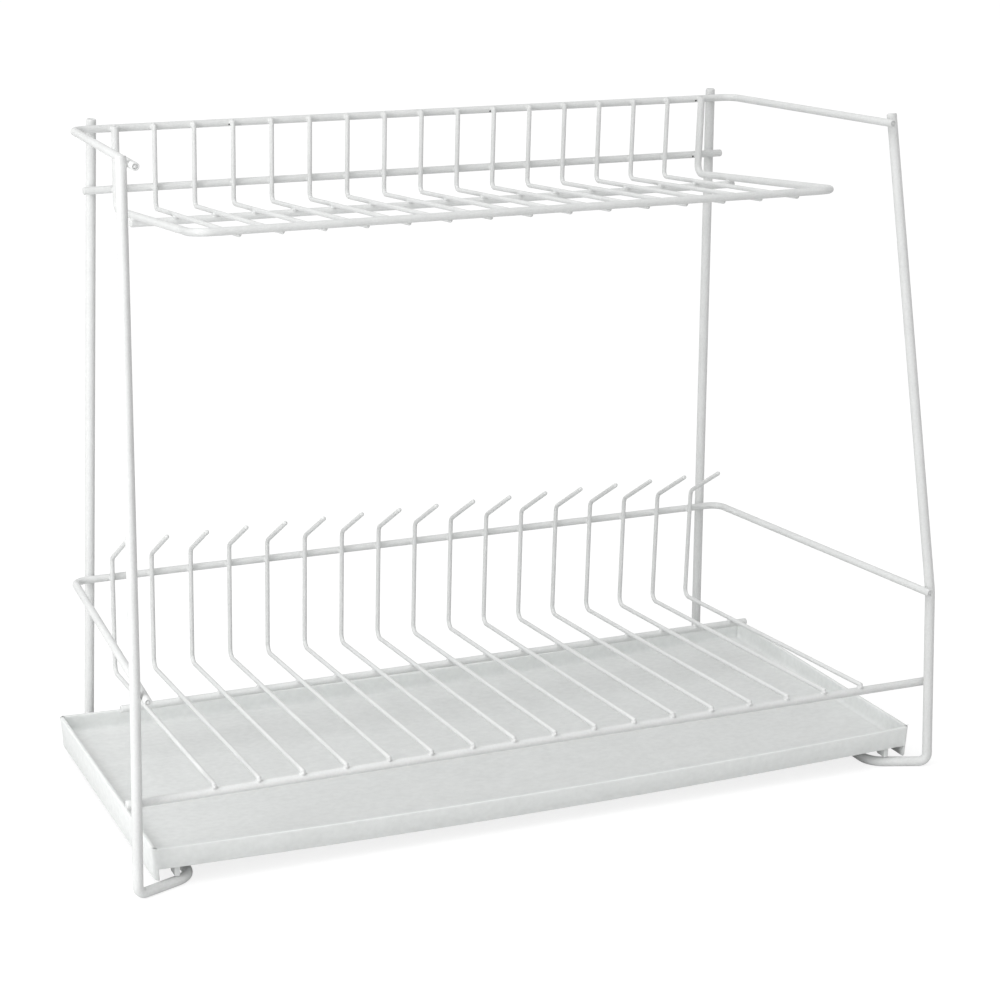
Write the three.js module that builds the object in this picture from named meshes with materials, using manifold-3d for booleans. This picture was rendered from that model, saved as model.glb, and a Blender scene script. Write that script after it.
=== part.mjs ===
// Two-tier dish drainer of coated steel wire with a drip tray that slides out at the front.
// Millimetres, +X to the right, +Y to the rear, +Z up, the floor at zero height.
import * as THREE from "three";
import { mergeVertices } from "three/addons/utils/BufferGeometryUtils.js";
import Module from "manifold-3d";

const wasm = await Module();
wasm.setup();

// Driving dimensions. Depths are measured rearwards from the front legs' feet, heights from
// the floor and half widths from the middle plane. Every wire is placed by its centre line.
const mm = {
  // wire diameters, coating included
  frame_wire: 5.9,
  rail_wire: 4.4,
  front_rail_wire: 4.8,
  thin_wire: 2.7,
  weld_clearance: 0.3,

  // side frames: front leg, slanting foot, runner under the tray and rear leg in one wire
  leg_foot_half_width: 243,
  leg_kink_half_width: 239.9,
  leg_kink_depth: 1,
  leg_kink_height: 110.7,
  leg_top_half_width: 225.1,
  leg_top_depth: 42.3,
  leg_top_height: 387,
  runner_half_width: 210.5,
  runner_front_depth: 13,
  rear_leg_foot_depth: 240.7,
  rear_leg_top_half_width: 198.3,
  rear_leg_top_depth: 214.2,
  rear_leg_top_height: 384.5,
  leg_foot_bend: 5,
  runner_front_bend: 13,
  runner_rear_bend: 9,
  leg_kink_bend: 40,

  // upper rack: top rail, back rail, and the shelf of a rim wire, thin wires and a cross rail
  top_rail_rear_height: 379.2,
  top_rail_front_height: 382.2,
  top_rail_corner_half_width: 210.8,
  top_rail_overhang: 9.5,
  upper_back_rail_height: 344,
  upper_back_rail_half_length: 205.5,
  rim_rear_half_width: 187.1,
  rim_front_half_width: 190,
  rim_front_depth: 39.5,
  rim_front_height: 345.5,
  rim_rear_height: 332.3,
  shelf_wire_rear_pitch: 23.42,
  shelf_wire_front_pitch: 23.52,
  shelf_wire_rear_height: 331.8,
  shelf_wire_end_setback: 1.2,
  shelf_rail_depth: 165.8,
  shelf_rail_half_length: 190.5,

  // lower rack: plate rail, upright prongs between the plates, front rail and floor rail
  plate_rail_rear_height: 106.3,
  plate_rail_front_height: 111.8,
  plate_rail_corner_half_width: 218.1,
  plate_rail_overhang: 8,
  prong_rear_pitch: 24.42,
  prong_front_pitch: 24.74,
  prong_rear_height: 45.3,
  prong_bend_height: 119.5,
  prong_tip_depth: 184.6,
  prong_tip_height: 141.3,
  prong_front_overhang: 1.6,
  front_rail_height: 52.1,
  front_rail_end_overhang: 3,
  floor_rail_depth: 166,
  floor_rail_half_length: 208,

  // bends of rails and thin wires, and the rounding of their cut ends
  rail_bend: 9,
  rim_front_bend: 12,
  rim_rear_bend: 8,
  thin_wire_bend: 5,
  prong_tip_bend: 6,
  frame_end_round: 1.2,
  rail_end_round: 1,
  thin_end_round: 0.5,

  // drip tray
  tray_half_width: 233,
  tray_front_depth: 4.8,
  tray_rear_depth: 220.5,
  tray_top_height: 24.9,
  tray_floor_height: 15,
  tray_floor_thickness: 2.3,
  tray_wall: 2.3,
  tray_draft: 1,
  tray_sag: 3.5,
  tray_corner_round: 3,
  tray_rim_round: 0.8,
  tray_floor_fillet: 3,
  tray_rib_inset: 13.8,
  tray_rib_setback: 3,
  tray_rib_width: 3,
  tray_rib_length: 14,
};

// Counts and shares, which are not lengths.
const shelf_wires_each_side = 7;
const prongs_each_side = 8;
const frame_sides = 16;
const rail_sides = 12;
const thin_sides = 10;
const bend_steps = 4;
const shallow_bend_steps = 2;
const tray_steps = 20;
const arc_steps = 4;
const end_round_share = 0.62;

const frame_radius = mm.frame_wire / 2;
const rail_radius = mm.rail_wire / 2;
const front_rail_radius = mm.front_rail_wire / 2;
const thin_radius = mm.thin_wire / 2;

// A flat of the faceted runner lies on the floor.
const runner_height = frame_radius * Math.cos(Math.PI / frame_sides);

const across = new THREE.Vector3(1, 0, 0);
const rearwards = new THREE.Vector3(0, 1, 0);
const upwards = new THREE.Vector3(0, 0, 1);

/** Value at a on the straight line from (a0, b0) to (a1, b1). */
function between(a, a0, b0, a1, b1) {
  return b0 + ((a - a0) / (a1 - a0)) * (b1 - b0);
}

/** Distance along an axis between two crossing wires' centre lines that leaves the weld clearance. */
function spacing(axis, way_a, way_b, radius_a, radius_b) {
  const normal = way_a.clone().cross(way_b).normalize();
  return (radius_a + radius_b + mm.weld_clearance) / Math.abs(normal.dot(axis));
}

// The origin lies under the middle of the drainer, halfway from the plate rail's ends to the
// backs of the rear feet. Rounding the rear feet takes a little off their depth.
const front_end_depth = frontLegDepth(mm.plate_rail_front_height) - mm.plate_rail_overhang;
const rear_lean = Math.atan2(
  mm.rear_leg_foot_depth - mm.rear_leg_top_depth, mm.rear_leg_top_height - runner_height,
);
const rear_foot_loss = mm.runner_rear_bend * (Math.tan(Math.PI / 4 + rear_lean / 2) - 1);
const rear_face_depth = mm.rear_leg_foot_depth - rear_foot_loss + runner_height;
const middle_depth = (front_end_depth + rear_face_depth) / 2;

/** Point given by its place across, depth behind the front feet and height. */
function at(x, depth, height) {
  return new THREE.Vector3(x, depth - middle_depth, height);
}

/** Depth of the front leg's upper run at a height. */
function frontLegDepth(height) {
  return between(height, mm.leg_kink_height, mm.leg_kink_depth, mm.leg_top_height, mm.leg_top_depth);
}

/** Half width of the front leg's upper run at a height. */
function frontLegHalfWidth(height) {
  return between(
    height, mm.leg_kink_height, mm.leg_kink_half_width, mm.leg_top_height, mm.leg_top_half_width,
  );
}

const front_leg_way = at(mm.leg_top_half_width, mm.leg_top_depth, mm.leg_top_height)
  .sub(at(mm.leg_kink_half_width, mm.leg_kink_depth, mm.leg_kink_height));
const lower_leg_way = at(mm.leg_kink_half_width, mm.leg_kink_depth, mm.leg_kink_height)
  .sub(at(mm.leg_foot_half_width, 0, runner_height));
const rear_leg_way = at(mm.rear_leg_top_half_width, mm.rear_leg_top_depth, mm.rear_leg_top_height)
  .sub(at(mm.runner_half_width, mm.rear_leg_foot_depth, runner_height));

/** Depth of the rear leg at a height. */
function rearLegDepth(height) {
  return between(
    height, runner_height, mm.rear_leg_foot_depth, mm.rear_leg_top_height, mm.rear_leg_top_depth,
  );
}

/** Depth of a rail's rear run, which lies against the fronts of the rear legs. */
function rearRunDepth(height) {
  return rearLegDepth(height) - spacing(rearwards, rear_leg_way, across, frame_radius, rail_radius);
}

/** Curve through ready stations, each a point with the way the curve goes there. */
class StationPath extends THREE.Curve {
  /** The section's first side faces anchor_normal at the station numbered anchor. */
  constructor(stations, anchor, anchor_normal) {
    super();
    this.stations = stations;
    this.anchor = anchor;
    this.anchor_normal = anchor_normal;
  }

  station(share) {
    return this.stations[Math.round(share * (this.stations.length - 1))];
  }

  getPoint(share, target = new THREE.Vector3()) {
    return target.copy(this.station(share).point);
  }

  getPointAt(share, target) {
    return this.getPoint(share, target);
  }

  /** Section frames that turn with the path, both ways from the anchor, and never twist. */
  computeFrenetFrames() {
    const tangents = this.stations.map(({ way }) => way);
    const normals = [];
    const anchor_way = tangents[this.anchor];
    normals[this.anchor] = this.anchor_normal.clone()
      .addScaledVector(anchor_way, -this.anchor_normal.dot(anchor_way)).normalize();
    const carry = (from, to) => {
      const turn = new THREE.Quaternion().setFromUnitVectors(tangents[from], tangents[to]);
      normals[to] = normals[from].clone().applyQuaternion(turn);
    };
    for (let i = this.anchor + 1; i < tangents.length; i += 1) {
      carry(i - 1, i);
    }
    for (let i = this.anchor - 1; i >= 0; i -= 1) {
      carry(i + 1, i);
    }
    const binormals = normals.map((side, i) => tangents[i].clone().cross(side));
    return { tangents, normals, binormals };
  }
}

/** Corner of a bent wire. */
function bend(point, radius, steps = bend_steps) {
  return { point, radius, steps };
}

/** Stations round one bend of a wire. */
function bendStations(before, corner, after) {
  const way_in = corner.point.clone().sub(before).normalize();
  const way_out = after.clone().sub(corner.point).normalize();
  const turn = way_in.angleTo(way_out);
  const start = corner.point.clone().addScaledVector(way_in, -corner.radius * Math.tan(turn / 2));
  const inwards = way_out.clone().addScaledVector(way_in, -way_out.dot(way_in)).normalize();
  const centre = start.clone().addScaledVector(inwards, corner.radius);
  const stations = [];
  for (let k = 0; k <= corner.steps; k += 1) {
    const angle = (turn * k) / corner.steps;
    stations.push({
      point: centre.clone()
        .addScaledVector(inwards, -corner.radius * Math.cos(angle))
        .addScaledVector(way_in, corner.radius * Math.sin(angle)),
      way: way_in.clone().multiplyScalar(Math.cos(angle)).addScaledVector(inwards, Math.sin(angle)),
    });
  }
  return stations;
}

/**
 * Path of a bent wire from one end over its corners to the other end.
 * A second station close to each end leaves room for rounding the cut.
 */
function wirePath(first, corners, last, end_round) {
  const points = [first, ...corners.map(({ point }) => point), last];
  const first_way = points[1].clone().sub(first).normalize();
  const last_way = last.clone().sub(points[points.length - 2]).normalize();
  const stations = [
    { point: first.clone(), way: first_way },
    { point: first.clone().addScaledVector(first_way, end_round), way: first_way },
  ];
  corners.forEach((corner, i) => stations.push(...bendStations(points[i], corner, points[i + 2])));
  stations.push({ point: last.clone().addScaledVector(last_way, -end_round), way: last_way });
  stations.push({ point: last.clone(), way: last_way });
  // Flats of the section face up and down where the wire first runs level, or nearly so.
  const anchor = stations.findIndex(({ way }) => way.z * way.z < way.x * way.x + way.y * way.y);
  return new StationPath(stations, anchor, upwards);
}

/** Regular polygon with a flat at zero angle, inside the wire's circle. */
function wireSection(radius, sides) {
  const corners = [];
  for (let i = 0; i < sides; i += 1) {
    const angle = (Math.PI * (i + i + 1)) / sides;
    corners.push(new THREE.Vector2(radius * Math.cos(angle), radius * Math.sin(angle)));
  }
  return new THREE.Shape(corners);
}

/** Sweeps a section along a path of stations. */
function sweep(section, path) {
  return new THREE.ExtrudeGeometry(section, {
    steps: path.stations.length - 1,
    extrudePath: path,
    curveSegments: arc_steps,
  });
}

/** Draws a wire's two end faces in, so that its cut ends are rounded off. */
function roundEnds(geometry, path, end_round) {
  const positions = geometry.getAttribute("position");
  const vertex = new THREE.Vector3();
  for (const end of [path.stations[0], path.stations[path.stations.length - 1]]) {
    for (let i = 0; i < positions.count; i += 1) {
      const offset = vertex.fromBufferAttribute(positions, i).sub(end.point);
      if (offset.length() < mm.frame_wire && Math.abs(offset.dot(end.way)) < end_round / 2) {
        offset.multiplyScalar(end_round_share).add(end.point);
        positions.setXYZ(i, offset.x, offset.y, offset.z);
      }
    }
  }
  geometry.computeVertexNormals();
  return geometry;
}

const coated_wire = { color: 0xe8e8e6, roughness: 0.36, metalness: 0 };
const tray_plastic = { color: 0xdadbda, roughness: 0.5, metalness: 0 };

const drainer = new THREE.Group();

/** Adds one named piece with a material of its own. */
function addPiece(name, geometry, look) {
  const piece = new THREE.Mesh(geometry, new THREE.MeshStandardMaterial(look));
  piece.name = name;
  drainer.add(piece);
}

/** Adds one bent wire of a given radius. */
function addWire(name, radius, sides, end_round, first, corners, last) {
  const path = wirePath(first, corners, last, end_round);
  addPiece(name, roundEnds(sweep(wireSection(radius, sides), path), path, end_round), coated_wire);
}

/** Adds one rail. */
function addRail(name, first, corners, last, radius = rail_radius) {
  addWire(name, radius, rail_sides, mm.rail_end_round, first, corners, last);
}

/** Adds one straight rail across the drainer. */
function addCrossRail(name, half_length, depth, height, radius = rail_radius) {
  addRail(name, at(-half_length, depth, height), [], at(half_length, depth, height), radius);
}

/** Adds one thin wire. */
function addThinWire(name, first, corners, last) {
  addWire(name, thin_radius, thin_sides, mm.thin_end_round, first, corners, last);
}

/** Adds a numbered row of thin wires, from left to right. */
function addThinWireRow(name, each_side, makeWire) {
  for (let i = -each_side; i <= each_side; i += 1) {
    const { first, corners, last } = makeWire(i);
    addThinWire(`${name}_${String(i + each_side + 1).padStart(2, "0")}`, first, corners, last);
  }
}

/** Adds one side frame; side is -1 on the left and 1 on the right. */
function addSideFrame(name, side) {
  addWire(
    name, frame_radius, frame_sides, mm.frame_end_round,
    at(side * mm.leg_top_half_width, mm.leg_top_depth, mm.leg_top_height),
    [
      bend(
        at(side * mm.leg_kink_half_width, mm.leg_kink_depth, mm.leg_kink_height),
        mm.leg_kink_bend, shallow_bend_steps,
      ),
      bend(at(side * mm.leg_foot_half_width, 0, runner_height), mm.leg_foot_bend),
      bend(at(side * mm.runner_half_width, mm.runner_front_depth, runner_height), mm.runner_front_bend),
      bend(at(side * mm.runner_half_width, mm.rear_leg_foot_depth, runner_height), mm.runner_rear_bend),
    ],
    at(side * mm.rear_leg_top_half_width, mm.rear_leg_top_depth, mm.rear_leg_top_height),
  );
}

/**
 * Adds a U-shaped rail. Its rear run lies against the fronts of the rear legs, and its side
 * runs end on the inner sides of the front legs, a little ahead of them.
 */
function addLoopRail(name, rear_height, front_height, corner_half_width, overhang) {
  const rear_depth = rearRunDepth(rear_height);
  const leg_depth = frontLegDepth(front_height);
  const leg_half_width = frontLegHalfWidth(front_height);
  const rear_corner = at(corner_half_width, rear_depth, rear_height);
  const rough_way = at(leg_half_width, leg_depth, front_height).sub(rear_corner);
  const gap = spacing(across, front_leg_way, rough_way, frame_radius, rail_radius);
  const contact = at(leg_half_width - gap, leg_depth, front_height);
  const way = contact.clone().sub(rear_corner);
  const right_end = contact.clone().addScaledVector(way, overhang / (rear_depth - leg_depth));
  const mirror = new THREE.Vector3(-1, 1, 1);
  addRail(
    name, right_end.clone().multiply(mirror),
    [bend(rear_corner.clone().multiply(mirror), mm.rail_bend), bend(rear_corner, mm.rail_bend)],
    right_end,
  );
}

addSideFrame("left_side_frame", -1);
addSideFrame("right_side_frame", 1);

// Upper rack. Its hangers lean with the two rails at its back.
addLoopRail(
  "top_rail", mm.top_rail_rear_height, mm.top_rail_front_height,
  mm.top_rail_corner_half_width, mm.top_rail_overhang,
);
const back_rail_depth = rearRunDepth(mm.upper_back_rail_height);
addCrossRail(
  "upper_back_rail", mm.upper_back_rail_half_length, back_rail_depth, mm.upper_back_rail_height,
);

/** Depth at a height of a wire that hangs in front of the top rail and the back rail. */
function hangerDepth(height, radius) {
  const gap = spacing(rearwards, rear_leg_way, across, radius, rail_radius);
  return between(
    height, mm.upper_back_rail_height, back_rail_depth,
    mm.top_rail_rear_height, rearRunDepth(mm.top_rail_rear_height),
  ) - gap;
}

const hanger_top_height = mm.top_rail_rear_height + rail_radius / Math.SQRT2;
const rim_rear_depth = hangerDepth(mm.rim_rear_height, rail_radius);

/** One side of the shelf's rim: hanger top, rear corner and front corner. */
function rimSide(side) {
  return {
    top: at(side * mm.rim_rear_half_width, hangerDepth(hanger_top_height, rail_radius), hanger_top_height),
    corners: [
      bend(at(side * mm.rim_rear_half_width, rim_rear_depth, mm.rim_rear_height), mm.rim_rear_bend),
      bend(at(side * mm.rim_front_half_width, mm.rim_front_depth, mm.rim_front_height), mm.rim_front_bend),
    ],
  };
}

const left_rim = rimSide(-1);
const right_rim = rimSide(1);
addRail("shelf_rim", left_rim.top, [...left_rim.corners, ...right_rim.corners.reverse()], right_rim.top);

const thin_to_rail = spacing(upwards, rearwards, across, thin_radius, rail_radius);
const shelf_rear_depth = hangerDepth(mm.shelf_wire_rear_height, thin_radius);
const shelf_front_height = mm.rim_front_height - thin_to_rail;

/** Height of the shelf's thin wires at a depth. */
function shelfHeight(depth) {
  return between(
    depth, shelf_rear_depth, mm.shelf_wire_rear_height, mm.rim_front_depth, shelf_front_height,
  );
}

const shelf_wire_end_depth = mm.rim_front_depth + mm.shelf_wire_end_setback;

addThinWireRow("shelf_wire", shelf_wires_each_side, (i) => ({
  first: at(i * mm.shelf_wire_rear_pitch, hangerDepth(hanger_top_height, thin_radius), hanger_top_height),
  corners: [
    bend(at(i * mm.shelf_wire_rear_pitch, shelf_rear_depth, mm.shelf_wire_rear_height), mm.thin_wire_bend),
  ],
  last: at(i * mm.shelf_wire_front_pitch, shelf_wire_end_depth, shelfHeight(shelf_wire_end_depth)),
}));

// The cross rail lies under both the thin wires and the rim's side runs.
const rim_height_over_rail = between(
  mm.shelf_rail_depth, rim_rear_depth, mm.rim_rear_height, mm.rim_front_depth, mm.rim_front_height,
);
addCrossRail(
  "shelf_floor_rail", mm.shelf_rail_half_length, mm.shelf_rail_depth,
  Math.min(
    shelfHeight(mm.shelf_rail_depth) - thin_to_rail,
    rim_height_over_rail - spacing(upwards, rearwards, across, rail_radius, rail_radius),
  ),
);

// Lower rack. The prongs stand in front of the plate rail and lean with the rear legs.
addLoopRail(
  "plate_rail", mm.plate_rail_rear_height, mm.plate_rail_front_height,
  mm.plate_rail_corner_half_width, mm.plate_rail_overhang,
);
const front_rail_depth = between(
  mm.front_rail_height, runner_height, 0, mm.leg_kink_height, mm.leg_kink_depth,
) + spacing(rearwards, lower_leg_way, across, frame_radius, front_rail_radius);
addCrossRail(
  "front_rail", mm.leg_foot_half_width + mm.front_rail_end_overhang,
  front_rail_depth, mm.front_rail_height, front_rail_radius,
);

/** Depth of the prongs' upright run at a height. */
function prongDepth(height) {
  const lean = rear_leg_way.y / rear_leg_way.z;
  return rearRunDepth(mm.plate_rail_rear_height)
    - spacing(rearwards, rear_leg_way, across, thin_radius, rail_radius)
    + lean * (height - mm.plate_rail_rear_height);
}

const prong_rear_depth = prongDepth(mm.prong_rear_height);
const prong_front_height =
  mm.front_rail_height + spacing(upwards, rearwards, across, thin_radius, front_rail_radius);

/** Height of the prongs' floor run at a depth. */
function prongHeight(depth) {
  return between(depth, prong_rear_depth, mm.prong_rear_height, front_rail_depth, prong_front_height);
}

const prong_end_depth = front_rail_depth - mm.prong_front_overhang;

addThinWireRow("plate_prong", prongs_each_side, (i) => ({
  first: at(i * mm.prong_front_pitch, prong_end_depth, prongHeight(prong_end_depth)),
  corners: [
    bend(at(i * mm.prong_rear_pitch, prong_rear_depth, mm.prong_rear_height), mm.thin_wire_bend),
    bend(
      at(i * mm.prong_rear_pitch, prongDepth(mm.prong_bend_height), mm.prong_bend_height),
      mm.prong_tip_bend,
    ),
  ],
  last: at(i * mm.prong_rear_pitch, mm.prong_tip_depth, mm.prong_tip_height),
}));

addCrossRail(
  "floor_rail", mm.floor_rail_half_length, mm.floor_rail_depth,
  prongHeight(mm.floor_rail_depth) - thin_to_rail,
);

// Drip tray: a shallow channel that sags a little in the middle, closed by end walls whose
// skirts stand on the slanting feet, with short ribs under the floor over feet and runners.
const tray_base_height = runner_height + frame_radius + mm.weld_clearance;
const tray_underside = mm.tray_floor_height - mm.tray_floor_thickness;
const tray_height = mm.tray_top_height - tray_base_height;

/** How far a drafted outer face is drawn in at a height. */
function draftAt(height) {
  return (mm.tray_draft * (mm.tray_top_height - height)) / tray_height;
}

/** Library solid of a closed geometry. */
function solidOf(geometry) {
  geometry.deleteAttribute("normal");
  geometry.deleteAttribute("uv");
  const merged = mergeVertices(geometry);
  return new wasm.Manifold(new wasm.Mesh({
    numProp: 3,
    vertProperties: merged.getAttribute("position").array,
    triVerts: merged.getIndex().array,
  }));
}

/** Geometry of a library solid. */
function geometryOf(solid) {
  const mesh = solid.getMesh();
  const geometry = new THREE.BufferGeometry();
  geometry.setAttribute("position", new THREE.BufferAttribute(mesh.vertProperties, 3));
  geometry.setIndex(new THREE.BufferAttribute(mesh.triVerts, 1));
  geometry.computeVertexNormals();
  return geometry;
}

/** Half of a wall's section, from outside bottom over the rounded rim to the floor fillet. */
function wallOutline(outer_low, outer_top, inner, low, fillet_end) {
  const rim = mm.tray_rim_round;
  const top = mm.tray_top_height;
  const way = Math.sign(inner - outer_top);
  const fillet_centre = new THREE.Vector2(
    inner + way * mm.tray_floor_fillet, mm.tray_floor_height + mm.tray_floor_fillet,
  );
  const points = [new THREE.Vector2(outer_low, low), new THREE.Vector2(outer_top, top - rim)];
  for (let k = 1; k <= arc_steps; k += 1) {
    const angle = (Math.PI / 2) * (k / arc_steps);
    points.push(new THREE.Vector2(
      outer_top + way * rim * (1 - Math.cos(angle)), top - rim * (1 - Math.sin(angle)),
    ));
  }
  for (let k = 0; k < arc_steps; k += 1) {
    const angle = (Math.PI / 2) * (k / arc_steps);
    points.push(new THREE.Vector2(
      inner - way * rim * (1 - Math.sin(angle)), top - rim * (1 - Math.cos(angle)),
    ));
  }
  for (let k = 0; k <= arc_steps; k += 1) {
    const angle = (Math.PI / 2) * (k / arc_steps);
    points.push(new THREE.Vector2(
      fillet_centre.x - way * mm.tray_floor_fillet * Math.cos(angle),
      fillet_centre.y - mm.tray_floor_fillet * Math.sin(angle),
    ));
  }
  points.push(new THREE.Vector2(fillet_end, mm.tray_floor_height));
  return points;
}

// The sagging channel ends in the middle of the end walls.
const sag_half_width = mm.tray_half_width - mm.tray_wall / 2;

/** How far the tray hangs down at a share of the way from its middle to an end. */
function sagAt(share) {
  return mm.tray_sag * (1 - share * share);
}

/** Floor with the front and rear walls, swept across along the sagging line. */
function trayChannel() {
  const front = mm.tray_front_depth - middle_depth;
  const rear = mm.tray_rear_depth - middle_depth;
  const middle = (front + rear) / 2;
  const draft = draftAt(tray_underside);
  const front_wall = wallOutline(front + draft, front, front + mm.tray_wall, tray_underside, middle);
  const rear_wall = wallOutline(rear - draft, rear, rear - mm.tray_wall, tray_underside, middle);
  rear_wall.pop();
  const section = new THREE.Shape([...front_wall, ...rear_wall.reverse()]);
  const stations = [];
  for (let k = 0; k <= tray_steps; k += 1) {
    const share = (k + k - tray_steps) / tray_steps;
    stations.push({ point: new THREE.Vector3(sag_half_width * share, 0, -sagAt(share)), way: across });
  }
  return solidOf(sweep(section, new StationPath(stations, 0, rearwards)));
}

/** Left or right end wall with its skirt; side is -1 or 1. */
function trayEndWall(side) {
  const outer = side * mm.tray_half_width;
  const outline = wallOutline(
    outer - side * mm.tray_draft, outer, outer - side * mm.tray_wall, tray_base_height,
    outer - side * (mm.tray_wall + mm.tray_floor_fillet),
  );
  const inner_low = outer - side * (mm.tray_wall + mm.tray_draft);
  outline.push(new THREE.Vector2(outline[outline.length - 1].x, tray_underside));
  outline.push(new THREE.Vector2(inner_low, tray_underside));
  outline.push(new THREE.Vector2(inner_low, tray_base_height));
  const wall = new THREE.ExtrudeGeometry(new THREE.Shape(outline), {
    depth: mm.tray_rear_depth - mm.tray_front_depth,
    bevelEnabled: false,
  });
  wall.rotateX(Math.PI / 2);
  wall.translate(0, mm.tray_rear_depth - middle_depth, 0);
  return solidOf(wall);
}

/** Outside of the tray: a block with rounded corners in plan and drafted faces. */
function trayEnvelope() {
  const half_width = mm.tray_half_width;
  const half_depth = (mm.tray_rear_depth - mm.tray_front_depth) / 2;
  const round = mm.tray_corner_round;
  const plan = new THREE.Shape();
  plan.absarc(half_width - round, half_depth - round, round, 0, Math.PI / 2);
  plan.absarc(round - half_width, half_depth - round, round, Math.PI / 2, Math.PI);
  plan.absarc(round - half_width, round - half_depth, round, Math.PI, -Math.PI / 2);
  plan.absarc(half_width - round, round - half_depth, round, -Math.PI / 2, 0);
  const block = new THREE.ExtrudeGeometry(plan, {
    depth: tray_height,
    bevelEnabled: false,
    curveSegments: arc_steps,
  });
  block.translate(0, 0, tray_base_height);
  const positions = block.getAttribute("position");
  for (let i = 0; i < positions.count; i += 1) {
    const draft = draftAt(positions.getZ(i));
    positions.setX(i, positions.getX(i) * (1 - draft / half_width));
    positions.setY(i, positions.getY(i) * (1 - draft / half_depth));
  }
  block.translate(0, mm.tray_front_depth + half_depth - middle_depth, 0);
  return solidOf(block);
}

/** Short rib under the floor, from its front depth to the rear, let into half the floor. */
function trayRib(x, front_depth) {
  const top = mm.tray_floor_height - mm.tray_floor_thickness / 2 - sagAt(x / sag_half_width);
  const rib = new THREE.BoxGeometry(mm.tray_rib_width, mm.tray_rib_length, top - tray_base_height);
  rib.translate(
    x, front_depth + mm.tray_rib_length / 2 - middle_depth, (top + tray_base_height) / 2,
  );
  return solidOf(rib);
}

/** The whole drip tray. */
function dripTray() {
  let tray = trayChannel().add(trayEndWall(-1)).add(trayEndWall(1)).intersect(trayEnvelope());
  for (const side of [-1, 1]) {
    const front_rib = trayRib(
      side * (mm.tray_half_width - mm.tray_rib_inset), mm.tray_front_depth + mm.tray_rib_setback,
    );
    const rear_rib = trayRib(
      side * mm.runner_half_width, mm.tray_rear_depth - mm.tray_rib_setback - mm.tray_rib_length,
    );
    tray = tray.add(front_rib).add(rear_rib);
  }
  return geometryOf(tray);
}

addPiece("drip_tray", dripTray(), tray_plastic);

export default drainer;
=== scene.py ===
"""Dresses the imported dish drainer: round coated wires with welds, and a moulded drip tray."""
import logging
import math
import random
from dataclasses import asdict, dataclass, field, fields
from enum import Enum
from itertools import combinations, product
from typing import Callable, ClassVar

import bmesh
import bpy
from mathutils import Euler, Matrix, Vector


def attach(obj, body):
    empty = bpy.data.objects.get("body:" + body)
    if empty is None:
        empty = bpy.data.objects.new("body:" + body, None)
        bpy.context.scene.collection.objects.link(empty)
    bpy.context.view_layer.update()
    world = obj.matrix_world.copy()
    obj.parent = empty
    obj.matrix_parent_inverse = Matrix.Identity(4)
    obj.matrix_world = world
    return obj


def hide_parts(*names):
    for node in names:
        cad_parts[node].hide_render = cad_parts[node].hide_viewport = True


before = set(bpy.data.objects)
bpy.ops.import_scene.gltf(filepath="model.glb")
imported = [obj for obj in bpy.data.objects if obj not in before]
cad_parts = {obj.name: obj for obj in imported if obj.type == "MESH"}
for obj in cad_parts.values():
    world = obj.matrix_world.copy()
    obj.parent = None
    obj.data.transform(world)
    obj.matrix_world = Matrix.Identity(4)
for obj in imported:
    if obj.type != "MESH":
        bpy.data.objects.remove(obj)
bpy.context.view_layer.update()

RACK_BODY = "rack"
TRAY_BODY = "tray"

ORIGIN = Vector((0.0, 0.0, 0.0))
ACROSS = Vector((1.0, 0.0, 0.0))
REARWARDS = Vector((0.0, 1.0, 0.0))
UPWARDS = Vector((0.0, 0.0, 1.0))
MIRROR = Vector((-1.0, 1.0, 1.0))
CIRCULAR_PROFILE = 0.5
WHITE = (1.0, 1.0, 1.0, 1.0)

log = logging.getLogger("dish_drainer")


class Side(Enum):
    """A side of the drainer, with its sign along the drainer's length."""

    LEFT = -1
    RIGHT = 1


class MeshPart(Enum):
    """A kind of mesh part that is selected in edit mode."""

    EDGE = "EDGE"
    FACE = "FACE"


def on_line(place: float, start: float, start_value: float, end: float, end_value: float) -> float:
    """Value at a place on the straight line through two places with known values."""
    return start_value + (place - start) / (end - start) * (end_value - start_value)


# Shaping steps


def open_primitive(name: str) -> bpy.types.Object:
    """Names the primitive just added, moves its place into its mesh and opens it in edit mode.

    Args:
        name: Name of the new object.

    Returns:
        The new object, with all its faces selected.
    """
    piece = bpy.context.object
    piece.name = name
    piece.data.name = name
    bpy.ops.object.transform_apply(location=True, rotation=True, scale=True)
    bpy.ops.object.mode_set(mode="EDIT")
    bpy.ops.mesh.select_mode(type="FACE")
    bpy.ops.mesh.select_all(action="SELECT")
    return piece


def start_disc(name: str, sides: int, radius: float, place: Vector, way: Vector) -> bpy.types.Object:
    """Adds a filled disc and leaves it selected in edit mode, with its object at the origin.

    Args:
        name: Name of the new object.
        sides: Corners of the disc.
        radius: Radius in metres.
        place: Centre of the disc.
        way: Direction that the disc faces.

    Returns:
        The new object.
    """
    bpy.ops.object.select_all(action="DESELECT")
    bpy.ops.mesh.primitive_circle_add(
        vertices=sides, radius=radius, fill_type="NGON", location=place,
        rotation=way.to_track_quat("Z", "Y").to_euler(),
    )
    return open_primitive(name)


def start_block(name: str, centre: Vector, size: Vector) -> bpy.types.Object:
    """Adds a block and leaves it selected in edit mode, with its object at the origin.

    Args:
        name: Name of the new object.
        centre: Centre of the block.
        size: Its length, depth and height.

    Returns:
        The new object.
    """
    bpy.ops.object.select_all(action="DESELECT")
    bpy.ops.mesh.primitive_cube_add(size=1.0, location=centre, scale=size)
    return open_primitive(name)


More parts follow.
